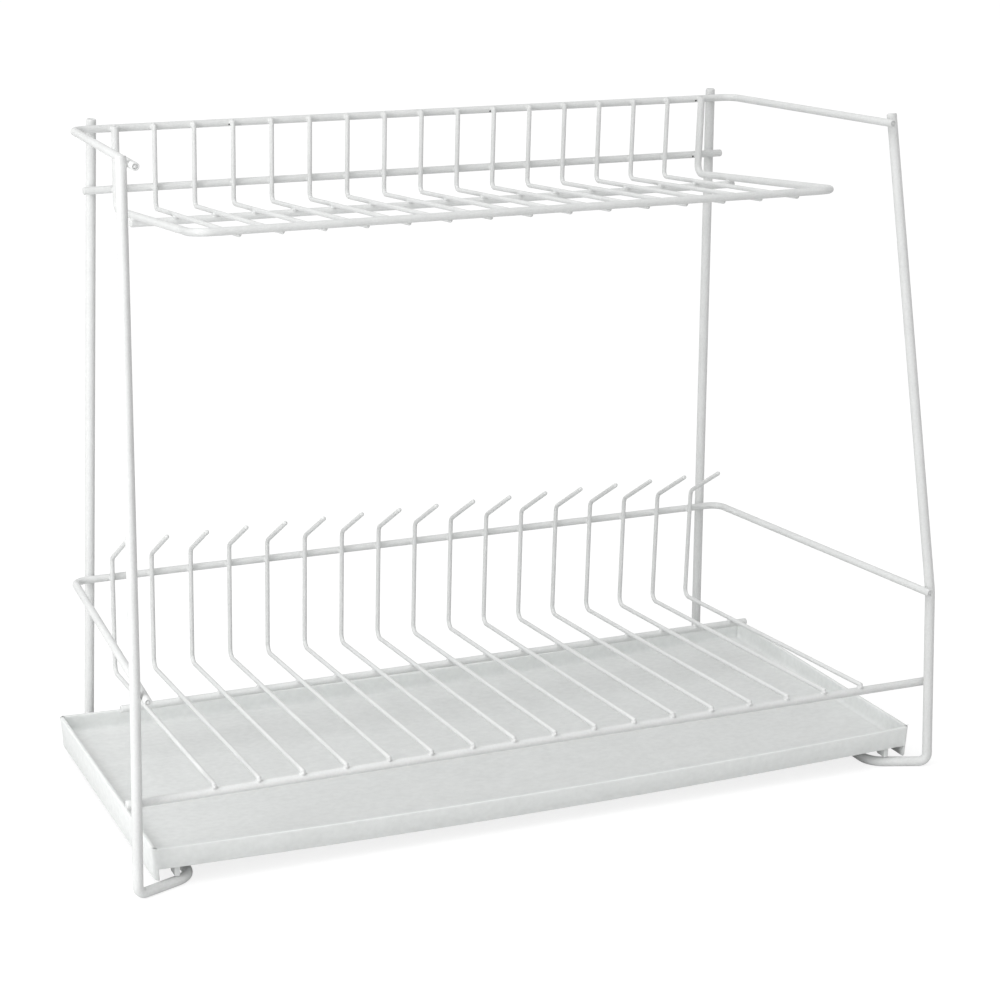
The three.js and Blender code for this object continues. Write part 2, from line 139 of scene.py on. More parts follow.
def select_parts(
    mesh: bpy.types.Mesh, kind: MeshPart,
    wanted: Callable[[bmesh.types.BMEdge | bmesh.types.BMFace], bool],
) -> None:
    """Selects in edit mode the edges or faces that a test picks, and nothing else.

    Args:
        mesh: The mesh in edit mode.
        kind: Whether edges or faces are selected.
        wanted: Says of an edge or face whether it is selected.
    """
    bpy.ops.mesh.select_mode(type=kind.value)
    bpy.ops.mesh.select_all(action="DESELECT")
    shape = bmesh.from_edit_mesh(mesh)
    shape.normal_update()
    for part in shape.edges if kind is MeshPart.EDGE else shape.faces:
        part.select_set(wanted(part))
    bmesh.update_edit_mesh(mesh)


def extrude(offset: Vector) -> None:
    """Pulls the selected faces out by an offset."""
    bpy.ops.mesh.extrude_region_move(TRANSFORM_OT_translate={"value": offset})


def round_selected(offset: float, segments: int) -> None:
    """Rounds the selected edges with a circular bevel."""
    bpy.ops.mesh.bevel(offset=offset, segments=segments, affect="EDGES", profile=CIRCULAR_PROFILE)


def turn_outwards() -> None:
    """Turns all faces outwards and leaves them selected."""
    bpy.ops.mesh.select_all(action="SELECT")
    bpy.ops.mesh.normals_make_consistent(inside=False)


def close_shape(piece: bpy.types.Object) -> None:
    """Turns all faces outwards, leaves edit mode and warns if the shape isn't closed.

    Args:
        piece: The piece in edit mode.
    """
    turn_outwards()
    shape = bmesh.from_edit_mesh(piece.data)
    if shape.calc_volume(signed=True) < 0.0:
        bpy.ops.mesh.flip_normals()
        shape = bmesh.from_edit_mesh(piece.data)
    open_edges = sum(len(edge.link_faces) != 2 for edge in shape.edges)
    bpy.ops.mesh.select_all(action="DESELECT")
    bpy.ops.object.mode_set(mode="OBJECT")
    if open_edges:
        log.warning("%s has %d open edges", piece.name, open_edges)


def join(pieces: list[bpy.types.Object], name: str) -> bpy.types.Object:
    """Joins objects into the first of them.

    Args:
        pieces: The objects to join.
        name: Name of the joined object.

    Returns:
        The joined object.
    """
    bpy.ops.object.select_all(action="DESELECT")
    for piece in pieces:
        piece.select_set(True)
    bpy.context.view_layer.objects.active = pieces[0]
    bpy.ops.object.join()
    joined = bpy.context.object
    joined.name = name
    joined.data.name = name
    return joined


# Wires


@dataclass(frozen=True)
class WireStock:
    """Radii of the coated wires, and how crossing wires lie on each other, in metres."""

    frame_drawn: float = 0.00295
    frame_sides: int = 16
    rail: float = 0.0022
    front_rail: float = 0.0024
    thin: float = 0.00135
    weld_gap: float = 0.0003

    @property
    def frame(self) -> float:
        """Radius of the round frame wire that rests on the floor as its faceted solid does."""
        return self.frame_drawn * math.cos(math.pi / self.frame_sides)

    def spacing(
        self, axis: Vector, way_a: Vector, way_b: Vector, radius_a: float, radius_b: float
    ) -> float:
        """Distance along an axis between two crossing wires that leaves the weld gap.

        Args:
            axis: The unit vector along which the distance is measured.
            way_a: Direction of the first wire.
            way_b: Direction of the second wire.
            radius_a: Radius of the first wire.
            radius_b: Radius of the second wire.

        Returns:
            The distance between the centre lines along the axis.
        """
        normal = way_a.cross(way_b).normalized()
        return (radius_a + radius_b + self.weld_gap) / abs(normal.dot(axis))

    def rise(self, along: float, across: float) -> float:
        """Height between a wire of one radius along the depth and one of another across it."""
        return self.spacing(UPWARDS, REARWARDS, ACROSS, along, across)


@dataclass(frozen=True)
class Corner:
    """A bend of a wire: where its straight runs would meet, and its centre line's radius."""

    point: Vector
    radius: float


@dataclass(frozen=True)
class Run:
    """A straight stretch of a wire."""

    start: Vector
    end: Vector

    @property
    def way(self) -> Vector:
        """Its direction, as a unit vector."""
        return (self.end - self.start).normalized()

    @property
    def length(self) -> float:
        """Its length."""
        return (self.end - self.start).length


@dataclass
class Wire:
    """A bent wire with the runs that other wires can be welded to."""

    name: str
    radius: float
    runs: list[Run] = field(default_factory=list)


BentPiece = tuple[bpy.types.Object, Wire]


@dataclass
class WireBender:
    """Bends wires as a bending machine does: straight pushes and turns round a former."""

    sides: int = 28
    turn_step: float = math.radians(9.0)
    fewest_turn_steps: int = 2
    end_segments: int = 3
    end_round_share: float = 0.3
    thin_end_round_share: float = 0.8
    thinnest_cut: float = 0.002
    end_ring_share: float = 0.15
    end_groove_share: float = 0.4
    end_rise_share: float = 0.3

    def bend(
        self, name: str, radius: float, first: Vector, corners: list[Corner], last: Vector
    ) -> BentPiece:
        """Makes one bent wire with rounded ends.

        Args:
            name: Name of the piece.
            radius: Radius of the wire.
            first: Centre of the first end.
            corners: The bends in order.
            last: Centre of the last end.

        Returns:
            The piece and its runs.
        """
        points = [first, *(corner.point for corner in corners), last]
        wire = Wire(name, radius)
        piece = start_disc(name, self.sides, radius, first, (points[1] - first).normalized())
        place = first
        for before, corner, after in zip(points, corners, points[2:]):
            way_in = (corner.point - before).normalized()
            way_out = (after - corner.point).normalized()
            turn = way_in.angle(way_out)
            setback = corner.radius * math.tan(turn / 2)
            start = corner.point - way_in * setback
            inwards = (way_out - way_in * way_out.dot(way_in)).normalized()
            extrude(start - place)
            wire.runs.append(Run(place, start))
            # With no window, spin turns against its axis.
            bpy.ops.mesh.spin(
                steps=max(self.fewest_turn_steps, math.ceil(turn / self.turn_step)), angle=-turn,
                center=start + inwards * corner.radius, axis=way_in.cross(way_out).normalized(),
            )
            place = corner.point + way_out * setback
        extrude(last - place)
        wire.runs.append(Run(place, last))
        self._round_ends(radius)
        close_shape(piece)
        bpy.ops.object.shade_smooth()
        return piece, wire

    @staticmethod
    def _select_cut_ends() -> None:
        """Selects the two end faces, the only ones with more than four sides."""
        bpy.ops.mesh.select_all(action="DESELECT")
        bpy.ops.mesh.select_face_by_sides(number=4, type="GREATER", extend=False)

    def _round_ends(self, radius: float) -> None:
        """Rounds the rims of both cut ends, which on thick wires stay flat with a ring groove.

        Args:
            radius: Radius of the wire.
        """
        thick = radius > self.thinnest_cut
        round_share = self.end_round_share if thick else self.thin_end_round_share
        self._select_cut_ends()
        bpy.ops.mesh.region_to_loop()
        round_selected(radius * round_share, self.end_segments)
        if thick:
            turn_outwards()
            bpy.ops.mesh.select_mode(type="FACE")
            self._select_cut_ends()
            for depth_share in (-self.end_groove_share, self.end_rise_share):
                bpy.ops.mesh.inset(
                    thickness=radius * self.end_ring_share, depth=radius * depth_share
                )


@dataclass(frozen=True)
class FramePath:
    """The points that the wire of one side frame is bent through, from front to rear."""

    leg_top: Vector
    leg_kink: Vector
    leg_foot: Vector
    runner_front: Vector
    runner_rear: Vector
    rear_top: Vector


@dataclass
class SideFrameWires:
    """The two side frames, each a front leg, slanting foot, runner and rear leg in one wire."""

    stock: WireStock = WireStock()
    leg_foot_half_width: float = 0.243
    leg_kink_half_width: float = 0.2399
    leg_kink_depth: float = 0.001
    leg_kink_height: float = 0.1107
    leg_top_half_width: float = 0.2251
    leg_top_depth: float = 0.0423
    leg_top_height: float = 0.38694
    runner_half_width: float = 0.2105
    runner_front_depth: float = 0.013
    rear_foot_depth: float = 0.2407
    rear_top_half_width: float = 0.1983
    rear_top_depth: float = 0.2142
    rear_top_height: float = 0.3845
    foot_bend: float = 0.005
    runner_front_bend: float = 0.013
    runner_rear_bend: float = 0.009
    kink_bend: float = 0.04
    front_reach_height: float = 0.1118
    front_reach: float = 0.008

    @property
    def runner_height(self) -> float:
        """Height of the runner's centre line over the floor."""
        return self.stock.frame

    @property
    def middle_depth(self) -> float:
        """Depth behind the front feet of the middle of the drainer.

        Returns:
            The mean of the depths of the foremost rail ends and of the rear feet's backs.
        """
        lean = math.atan2(
            self.rear_foot_depth - self.rear_top_depth, self.rear_top_height - self.runner_height
        )
        foot_loss = self.runner_rear_bend * (math.tan(math.pi / 4 + lean / 2) - 1)
        rear_face = self.rear_foot_depth - foot_loss + self.runner_height
        return (self.front_leg_depth(self.front_reach_height) - self.front_reach + rear_face) / 2

    def at(self, across: float, depth: float, height: float) -> Vector:
        """Point given by its place across, depth behind the front feet and height."""
        return Vector((across, depth - self.middle_depth, height))

    def front_leg_depth(self, height: float) -> float:
        """Depth of the front leg's upper run.

        Args:
            height: Height of the point on the leg.

        Returns:
            The depth of its centre line behind the front feet.
        """
        return on_line(
            height, self.leg_kink_height, self.leg_kink_depth, self.leg_top_height, self.leg_top_depth
        )

    def front_leg_half_width(self, height: float) -> float:
        """Distance of the front leg's upper run from the drainer's middle.

        Args:
            height: Height of the point on the leg.

        Returns:
            The distance of its centre line along the drainer's length.
        """
        return on_line(
            height, self.leg_kink_height, self.leg_kink_half_width,
            self.leg_top_height, self.leg_top_half_width,
        )

    def rear_leg_depth(self, height: float) -> float:
        """Depth of the rear leg.

        Args:
            height: Height of the point on the leg.

        Returns:
            The depth of its centre line behind the front feet.
        """
        return on_line(
            height, self.runner_height, self.rear_foot_depth, self.rear_top_height, self.rear_top_depth
        )

    def path(self, side: Side) -> FramePath:
        """Points that the wire of one side is bent through.

        Args:
            side: The side of the drainer.

        Returns:
            The points from the top of the front leg to the top of the rear leg.
        """
        sign, runner = side.value, side.value * self.runner_half_width
        return FramePath(
            self.at(sign * self.leg_top_half_width, self.leg_top_depth, self.leg_top_height),
            self.at(sign * self.leg_kink_half_width, self.leg_kink_depth, self.leg_kink_height),
            self.at(sign * self.leg_foot_half_width, 0.0, self.runner_height),
            self.at(runner, self.runner_front_depth, self.runner_height),
            self.at(runner, self.rear_foot_depth, self.runner_height),
            self.at(sign * self.rear_top_half_width, self.rear_top_depth, self.rear_top_height),
        )

    @property
    def front_leg_way(self) -> Vector:
        """Direction of the front leg's upper run on the right."""
        path = self.path(Side.RIGHT)
        return path.leg_top - path.leg_kink

    @property
    def lower_leg_way(self) -> Vector:
        """Direction of the front leg's lower run on the right."""
        path = self.path(Side.RIGHT)
        return path.leg_kink - path.leg_foot

    @property
    def rear_leg_way(self) -> Vector:
        """Direction of the rear leg on the right."""
        path = self.path(Side.RIGHT)
        return path.rear_top - path.runner_rear

    def rear_spacing(self, upright: float, across: float) -> float:
        """Distance in depth between a wire that leans like the rear legs and one across it."""
        return self.stock.spacing(REARWARDS, self.rear_leg_way, ACROSS, upright, across)

    def rear_run_depth(self, height: float) -> float:
        """Depth of a rail's rear run, which lies against the fronts of the rear legs."""
        return self.rear_leg_depth(height) - self.rear_spacing(self.stock.frame_drawn, self.stock.rail)

    def build(self, bender: WireBender, side: Side) -> BentPiece:
        """Makes the frame of one side.

        Args:
            bender: The machine that bends the wire.
            side: The side of the drainer.

        Returns:
            The piece and its runs.
        """
        path = self.path(side)
        corners = [
            Corner(path.leg_kink, self.kink_bend),
            Corner(path.leg_foot, self.foot_bend),
            Corner(path.runner_front, self.runner_front_bend),
            Corner(path.runner_rear, self.runner_rear_bend),
        ]
        return bender.bend(
            f"{side.name.lower()}_frame_wire", self.stock.frame, path.leg_top, corners, path.rear_top
        )


@dataclass
class StraightRail:
    """A straight rail that lies across the drainer."""

    frames: SideFrameWires
    radius: float
    half_length: float
    depth: float
    height: float

    def build(self, bender: WireBender, name: str) -> BentPiece:
        """Makes the rail under a name."""
        end = self.frames.at(self.half_length, self.depth, self.height)
        return bender.bend(name, self.radius, end * MIRROR, [], end)


@dataclass
class LoopRail:
    """A U-shaped rail: its rear run lies on the rear legs and its ends pass the front legs."""

    frames: SideFrameWires
    rear_height: float
    front_height: float
    corner_half_width: float
    overhang: float
    corner_bend: float = 0.009

    def build(self, bender: WireBender, name: str) -> BentPiece:
        """Makes the rail.

        Args:
            bender: The machine that bends the wire.
            name: Name of the piece.

        Returns:
            The piece and its runs.
        """
        frames, stock = self.frames, self.frames.stock
        rear_depth = frames.rear_run_depth(self.rear_height)
        leg_depth = frames.front_leg_depth(self.front_height)
        leg_half_width = frames.front_leg_half_width(self.front_height)
        corner = frames.at(self.corner_half_width, rear_depth, self.rear_height)
        rough_way = frames.at(leg_half_width, leg_depth, self.front_height) - corner
        gap = stock.spacing(ACROSS, frames.front_leg_way, rough_way, stock.frame_drawn, stock.rail)
        contact = frames.at(leg_half_width - gap, leg_depth, self.front_height)
        end = contact + (contact - corner) * (self.overhang / (rear_depth - leg_depth))
        corners = [Corner(corner * MIRROR, self.corner_bend), Corner(corner, self.corner_bend)]
        return bender.bend(name, stock.rail, end * MIRROR, corners, end)


@dataclass
class UpperRackWires:
    """The upper rack: top rail, back rail and the shelf of rim, thin wires and cross rail."""

    frames: SideFrameWires
    top_rail_rear_height: float = 0.3792
    top_rail_front_height: float = 0.3822
    top_rail_corner_half_width: float = 0.2108
    top_rail_overhang: float = 0.0095
    back_rail_height: float = 0.344
    back_rail_half_length: float = 0.2055
    rim_rear_half_width: float = 0.1871
    rim_front_half_width: float = 0.19
    rim_front_depth: float = 0.0395
    rim_front_height: float = 0.3455
    rim_rear_height: float = 0.3323
    rim_front_bend: float = 0.012
    rim_rear_bend: float = 0.0058
    wires_each_side: int = 7
    wire_rear_pitch: float = 0.02342
    wire_front_pitch: float = 0.02352
    wire_rear_height: float = 0.3318
    wire_end_setback: float = 0.0012
    wire_front_set_in: float = 0.0013
    wire_bend: float = 0.0034
    floor_rail_depth: float = 0.1658
    floor_rail_half_length: float = 0.1905
    floor_rail_set_in: float = 0.0008

    @property
    def hanger_top(self) -> float:
        """Height of the upper ends of the rim and the thin wires, on the top rail."""
        return self.top_rail_rear_height + self.frames.stock.rail / math.sqrt(2)

    def hanger_depth(self, height: float, radius: float) -> float:
        """Depth of a wire that hangs in front of both rails.

        Args:
            height: Height of the point on the wire.
            radius: Radius of the wire.

        Returns:
            The depth of its centre line behind the front feet.
        """
        frames = self.frames
        on_rails = on_line(
            height, self.back_rail_height, frames.rear_run_depth(self.back_rail_height),
            self.top_rail_rear_height, frames.rear_run_depth(self.top_rail_rear_height),
        )
        return on_rails - frames.rear_spacing(radius, frames.stock.rail)

    def shelf_height(self, depth: float) -> float:
        """Height of the shelf's thin wires.

        Args:
            depth: Depth behind the front feet.

        Returns:
            The height of their centre lines there.
        """
        stock = self.frames.stock
        return on_line(
            depth, self.hanger_depth(self.wire_rear_height, stock.thin), self.wire_rear_height,
            self.rim_front_depth, self.rim_front_height - stock.rise(stock.thin, stock.rail),
        )

    def rim_height(self, depth: float) -> float:
        """Height of the shelf rim's side runs.

        Args:
            depth: Depth behind the front feet.

        Returns:
            The height of their centre lines there.
        """
        return on_line(
            depth, self.hanger_depth(self.rim_rear_height, self.frames.stock.rail),
            self.rim_rear_height, self.rim_front_depth, self.rim_front_height,
        )

    @property
    def floor_rail_height(self) -> float:
        """Height of the rail under the shelf, which is let a little into the thin wires.

        Returns:
            The height of its centre line, below both the thin wires and the rim.
        """
        stock = self.frames.stock
        under_wires = self.shelf_height(self.floor_rail_depth) - stock.rise(stock.thin, stock.rail)
        under_rim = self.rim_height(self.floor_rail_depth) - stock.rise(stock.rail, stock.rail)
        return min(under_wires, under_rim) + self.floor_rail_set_in

    def build(self, bender: WireBender) -> dict[str, BentPiece]:
        """Makes every wire of the upper rack.

        Args:
            bender: The machine that bends the wires.

        Returns:
            The pieces and their runs by the name of the frame's node.
        """
        frames, stock = self.frames, self.frames.stock
        made: dict[str, BentPiece] = {}
        made["top_rail"] = LoopRail(
            frames, self.top_rail_rear_height, self.top_rail_front_height,
            self.top_rail_corner_half_width, self.top_rail_overhang,
        ).build(bender, "top_rail_wire")
        made["upper_back_rail"] = StraightRail(
            frames, stock.rail, self.back_rail_half_length,
            frames.rear_run_depth(self.back_rail_height), self.back_rail_height,
        ).build(bender, "upper_back_rail_wire")
        made["shelf_rim"] = self._rim(bender)
        for place in range(-self.wires_each_side, self.wires_each_side + 1):
            number = place + self.wires_each_side + 1
            made[f"shelf_wire_{number:02d}"] = self._shelf_wire(bender, place, number)
        made["shelf_floor_rail"] = StraightRail(
            frames, stock.rail, self.floor_rail_half_length,
            self.floor_rail_depth, self.floor_rail_height,
        ).build(bender, "shelf_floor_rail_wire")
        return made

    def _rim(self, bender: WireBender) -> BentPiece:
        """Makes the shelf rim, which hangs from both rails and runs round the shelf.

        Args:
            bender: The machine that bends the wire.

        Returns:
            The piece and its runs.
        """
        at, radius = self.frames.at, self.frames.stock.rail
        top = at(self.rim_rear_half_width, self.hanger_depth(self.hanger_top, radius), self.hanger_top)
        rear_depth = self.hanger_depth(self.rim_rear_height, radius)
        rear = at(self.rim_rear_half_width, rear_depth, self.rim_rear_height)
        front = at(self.rim_front_half_width, self.rim_front_depth, self.rim_front_height)
        corners = [
            Corner(rear * MIRROR, self.rim_rear_bend),
            Corner(front * MIRROR, self.rim_front_bend),
            Corner(front, self.rim_front_bend),
            Corner(rear, self.rim_rear_bend),
        ]
        return bender.bend("shelf_rim_wire", radius, top * MIRROR, corners, top)

    def _shelf_wire(self, bender: WireBender, place: int, number: int) -> BentPiece:
        """Makes one thin wire of the shelf, hanger and floor in one.

        Args:
            bender: The machine that bends the wire.
            place: Its place, counted from the middle one.
            number: Its number from the left.

        Returns:
            The piece and its runs.
        """
        at, radius = self.frames.at, self.frames.stock.thin
        rear_x = place * self.wire_rear_pitch
        rear_depth = self.hanger_depth(self.wire_rear_height, radius)
        end_depth = self.rim_front_depth + self.wire_end_setback
        end_height = self.shelf_height(end_depth) + self.wire_front_set_in
        return bender.bend(
            f"shelf_wire_{number:02d}_round", radius,
            at(rear_x, self.hanger_depth(self.hanger_top, radius), self.hanger_top),
            [Corner(at(rear_x, rear_depth, self.wire_rear_height), self.wire_bend)],
            at(place * self.wire_front_pitch, end_depth, end_height),
        )


@dataclass
class LowerRackWires:
    """The lower rack: plate rail, front rail, floor rail and the prongs between the plates."""

    frames: SideFrameWires
    plate_rail_rear_height: float = 0.1063
    plate_rail_front_height: float = 0.1118
    plate_rail_corner_half_width: float = 0.2181
    plate_rail_overhang: float = 0.00794
    prongs_each_side: int = 8
    prong_rear_pitch: float = 0.02442
    prong_front_pitch: float = 0.02474
    prong_rear_height: float = 0.0453
    prong_bend_height: float = 0.1195
    prong_tip_depth: float = 0.1846
    prong_tip_height: float = 0.1413
    prong_front_overhang: float = 0.0016
    prong_foot_bend: float = 0.005
    prong_tip_bend: float = 0.006
    front_rail_height: float = 0.0521
    front_rail_overhang: float = 0.003
    floor_rail_depth: float = 0.166
    floor_rail_half_length: float = 0.208

    @property
    def front_rail_depth(self) -> float:
        """Depth of the front rail, which lies against the backs of the front legs.

        Returns:
            The depth of its centre line behind the front feet.
        """
        frames, stock = self.frames, self.frames.stock
        leg_depth = on_line(
            self.front_rail_height, frames.runner_height, 0.0,
            frames.leg_kink_height, frames.leg_kink_depth,
        )
        return leg_depth + stock.spacing(
            REARWARDS, frames.lower_leg_way, ACROSS, stock.frame_drawn, stock.front_rail
        )

    def prong_depth(self, height: float) -> float:
        """Depth of the prongs' upright run.

        Args:
            height: Height of the point on the prong.

        Returns:
            The depth of its centre line behind the front feet.
        """
        frames, stock = self.frames, self.frames.stock
        lean = frames.rear_leg_way.y / frames.rear_leg_way.z
        return (
            frames.rear_run_depth(self.plate_rail_rear_height)
            - frames.rear_spacing(stock.thin, stock.rail)
            + lean * (height - self.plate_rail_rear_height)
        )

    def prong_height(self, depth: float) -> float:
        """Height of the prongs' floor run.

        Args:
            depth: Depth behind the front feet.

        Returns:
            The height of its centre line there.
        """
        stock = self.frames.stock
        return on_line(
            depth, self.prong_depth(self.prong_rear_height), self.prong_rear_height,
            self.front_rail_depth, self.front_rail_height + stock.rise(stock.thin, stock.front_rail),
        )

    def build(self, bender: WireBender) -> dict[str, BentPiece]:
        """Makes every wire of the lower rack.

        Args:
            bender: The machine that bends the wires.

        Returns:
            The pieces and their runs by the name of the frame's node.
        """
        frames, stock = self.frames, self.frames.stock
        made: dict[str, BentPiece] = {}
        made["plate_rail"] = LoopRail(
            frames, self.plate_rail_rear_height, self.plate_rail_front_height,
            self.plate_rail_corner_half_width, self.plate_rail_overhang,
        ).build(bender, "plate_rail_wire")
        made["front_rail"] = StraightRail(
            frames, stock.front_rail, frames.leg_foot_half_width + self.front_rail_overhang,
            self.front_rail_depth, self.front_rail_height,
        ).build(bender, "front_rail_wire")
        for place in range(-self.prongs_each_side, self.prongs_each_side + 1):
            number = place + self.prongs_each_side + 1
            made[f"plate_prong_{number:02d}"] = self._prong(bender, place, number)
        made["floor_rail"] = StraightRail(
            frames, stock.rail, self.floor_rail_half_length, self.floor_rail_depth,
            self.prong_height(self.floor_rail_depth) - stock.rise(stock.thin, stock.rail),
        ).build(bender, "floor_rail_wire")
        return made

    def _prong(self, bender: WireBender, place: int, number: int) -> BentPiece:
        """Makes one prong: floor run, upright run and tip bent forwards.

        Args:
            bender: The machine that bends the wire.
            place: Its place, counted from the middle one.
            number: Its number from the left.

        Returns:
            The piece and its runs.
        """
        at = self.frames.at
        rear_x = place * self.prong_rear_pitch
        end_depth = self.front_rail_depth - self.prong_front_overhang
        foot = at(rear_x, self.prong_depth(self.prong_rear_height), self.prong_rear_height)
        neck = at(rear_x, self.prong_depth(self.prong_bend_height), self.prong_bend_height)
        return bender.bend(
            f"plate_prong_{number:02d}_round", self.frames.stock.thin,
            at(place * self.prong_front_pitch, end_depth, self.prong_height(end_depth)),
            [Corner(foot, self.prong_foot_bend), Corner(neck, self.prong_tip_bend)],
            at(rear_x, self.prong_tip_depth, self.prong_tip_height),
        )


# Welds


@dataclass(frozen=True)
class Crossing:
    """Two wires that cross within weld distance, with the nearest points of their centre lines."""

    first: Wire
    second: Wire
    first_point: Vector
    second_point: Vector
    first_way: Vector


@dataclass(frozen=True)
class BeadRing:
    """One ring of a weld bead: its half widths along both wires, and its height."""

    along_first: float
    along_second: float
    height: float


def nearest_points(a: Run, b: Run) -> tuple[Vector, Vector, float]:
    """Nearest points of the lines through two runs.

    Args:
        a: The first run.
        b: The second run.

    Returns:
        The two points, kept within their runs, and how far outside its run the worse one fell.
    """
    offset = b.start - a.start
    cosine = a.way.dot(b.way)
    scale = 1.0 - cosine * cosine
    along_a = (offset.dot(a.way) - cosine * offset.dot(b.way)) / scale
    along_b = (cosine * offset.dot(a.way) - offset.dot(b.way)) / scale
    kept_a = min(max(along_a, 0.0), a.length)
    kept_b = min(max(along_b, 0.0), b.length)
    outside = max(abs(along_a - kept_a), abs(along_b - kept_b))
    return a.start + a.way * kept_a, b.start + b.way * kept_b, outside


@dataclass
class WeldMaker:
    """Finds where wires cross and lays a coated weld fillet into each crossing."""

    fillet: float = 0.00085
    reach: float = 0.0009
    parallel_cosine: float = 0.8
    sides: int = 14
    level_shares: tuple[float, ...] = (1.0, 0.55, 0.22, 0.0)
    sink: float = 0.0003
    sink_width_share: float = 0.94
    size_spread: float = 0.08
    gap_digits: int = 4
    seed: int = 11

    def crossings(self, wires: list[Wire]) -> list[Crossing]:
        """Finds all places where two of the wires lie at weld distance.

        Args:
            wires: The wires in order.

        Returns:
            The crossings in the order of the wires and of their runs.
        """
        found = []
        for first, second in combinations(wires, 2):
            for a, b in product(first.runs, second.runs):
                if abs(a.way.dot(b.way)) > self.parallel_cosine:
                    continue
                point_a, point_b, outside = nearest_points(a, b)
                room = (point_b - point_a).length - first.radius - second.radius
                if room < self.reach and outside < self.reach:
                    found.append(Crossing(first, second, point_a, point_b, a.way))
        return found

    def _touch_height(self, radius: float, gap: float) -> float:
        """Height over the flat where the rolling ball touches the wire."""
        return self.fillet + (radius + gap - self.fillet) * self.fillet / (radius + self.fillet)

    def _half_width(self, radius: float, height: float, gap: float) -> float:
        """Half width of a rolling-ball fillet between a flat and a wire over it.

        Args:
            radius: Radius of the wire.
            height: Height over the flat, negative inside it.
            gap: Room between the flat and the wire, negative where the wire is set into it.

        Returns:
            The half width across the wire.
        """
        ball = self.fillet
        reach = radius + ball
        foot = math.sqrt(reach * reach - (radius + gap - ball) ** 2)
        if height <= 0.0:
            return foot
        if height > self._touch_height(radius, gap):
            return foot * radius / reach * self.sink_width_share
        return foot - math.sqrt(max(0.0, 2 * ball * height - height * height))

    def _rings(self, first_radius: float, second_radius: float, gap: float) -> list[BeadRing]:
        """Works out the rings of a bead from inside the first wire to inside the second.

        Args:
            first_radius: Radius of the first wire.
            second_radius: Radius of the second wire.
            gap: Room between the wires.

        Returns:
            The rings from the bottom to the top.
        """
        lower = self._touch_height(first_radius, gap) - gap / 2
        upper = self._touch_height(second_radius, gap) - gap / 2
        heights = [
            -lower - self.sink,
            *(-lower * share for share in self.level_shares),
            *(upper * share for share in reversed(self.level_shares[:-1])),
            upper + self.sink,
        ]
        return [
            BeadRing(
                self._half_width(second_radius, height + gap / 2, gap),
                self._half_width(first_radius, gap / 2 - height, gap),
                height,
            )
            for height in heights
        ]

    def _bead(self, first_radius: float, second_radius: float, gap: float) -> bpy.types.Object:
        """Models a fillet with the first wire along X below it and the second along Y above it.

        Args:
            first_radius: Radius of the first wire.
            second_radius: Radius of the second wire.
            gap: Room between the wires.

        Returns:
            The closed bead, centred on the origin.
        """
        rings = self._rings(first_radius, second_radius, gap)
        piece = start_disc("weld_bead", self.sides, 1.0, UPWARDS * rings[0].height, UPWARDS)
        bpy.ops.transform.resize(
            value=(rings[0].along_first, rings[0].along_second, 1.0),
            center_override=(0.0, 0.0, rings[0].height),
        )
        for ring, before in zip(rings[1:], rings):
            extrude(UPWARDS * (ring.height - before.height))
            bpy.ops.transform.resize(
                value=(
                    ring.along_first / before.along_first,
                    ring.along_second / before.along_second, 1.0,
                ),
                center_override=(0.0, 0.0, ring.height),
            )
        close_shape(piece)
        bpy.ops.object.shade_smooth()
        return piece

    def build(self, name: str, crossings: list[Crossing]) -> bpy.types.Object:
        """Lays a bead into every crossing and joins them into one piece.

        Args:
            name: Name of the piece.
            crossings: The crossings to fill.

        Returns:
            The joined piece.
        """
        draw = random.Random(self.seed)
        models: dict[tuple[float, float, float], bpy.types.Object] = {}
        beads = []
        for crossing in crossings:
            radii = (crossing.first.radius, crossing.second.radius)
            between_lines = crossing.second_point - crossing.first_point
            gap = between_lines.length - sum(radii)
            kind = (*radii, round(gap, self.gap_digits))
            if kind not in models:
                models[kind] = self._bead(*kind)
            up = between_lines.normalized()
            along = (crossing.first_way - up * crossing.first_way.dot(up)).normalized()
            middle = crossing.first_point + up * (crossing.first.radius + gap / 2)
            turned = Matrix((along, up.cross(along), up)).transposed().to_4x4()
            size = 1.0 + draw.uniform(-self.size_spread, self.size_spread)
            grown = Matrix.Diagonal((size, size, 1.0, 1.0))
            bead = bpy.data.objects.new("weld_bead", models[kind].data.copy())
            bpy.context.scene.collection.objects.link(bead)
            bead.data.transform(Matrix.Translation(middle) @ turned @ grown)
            beads.append(bead)
        for model in models.values():
            bpy.data.objects.remove(model)
        return join(beads, name)


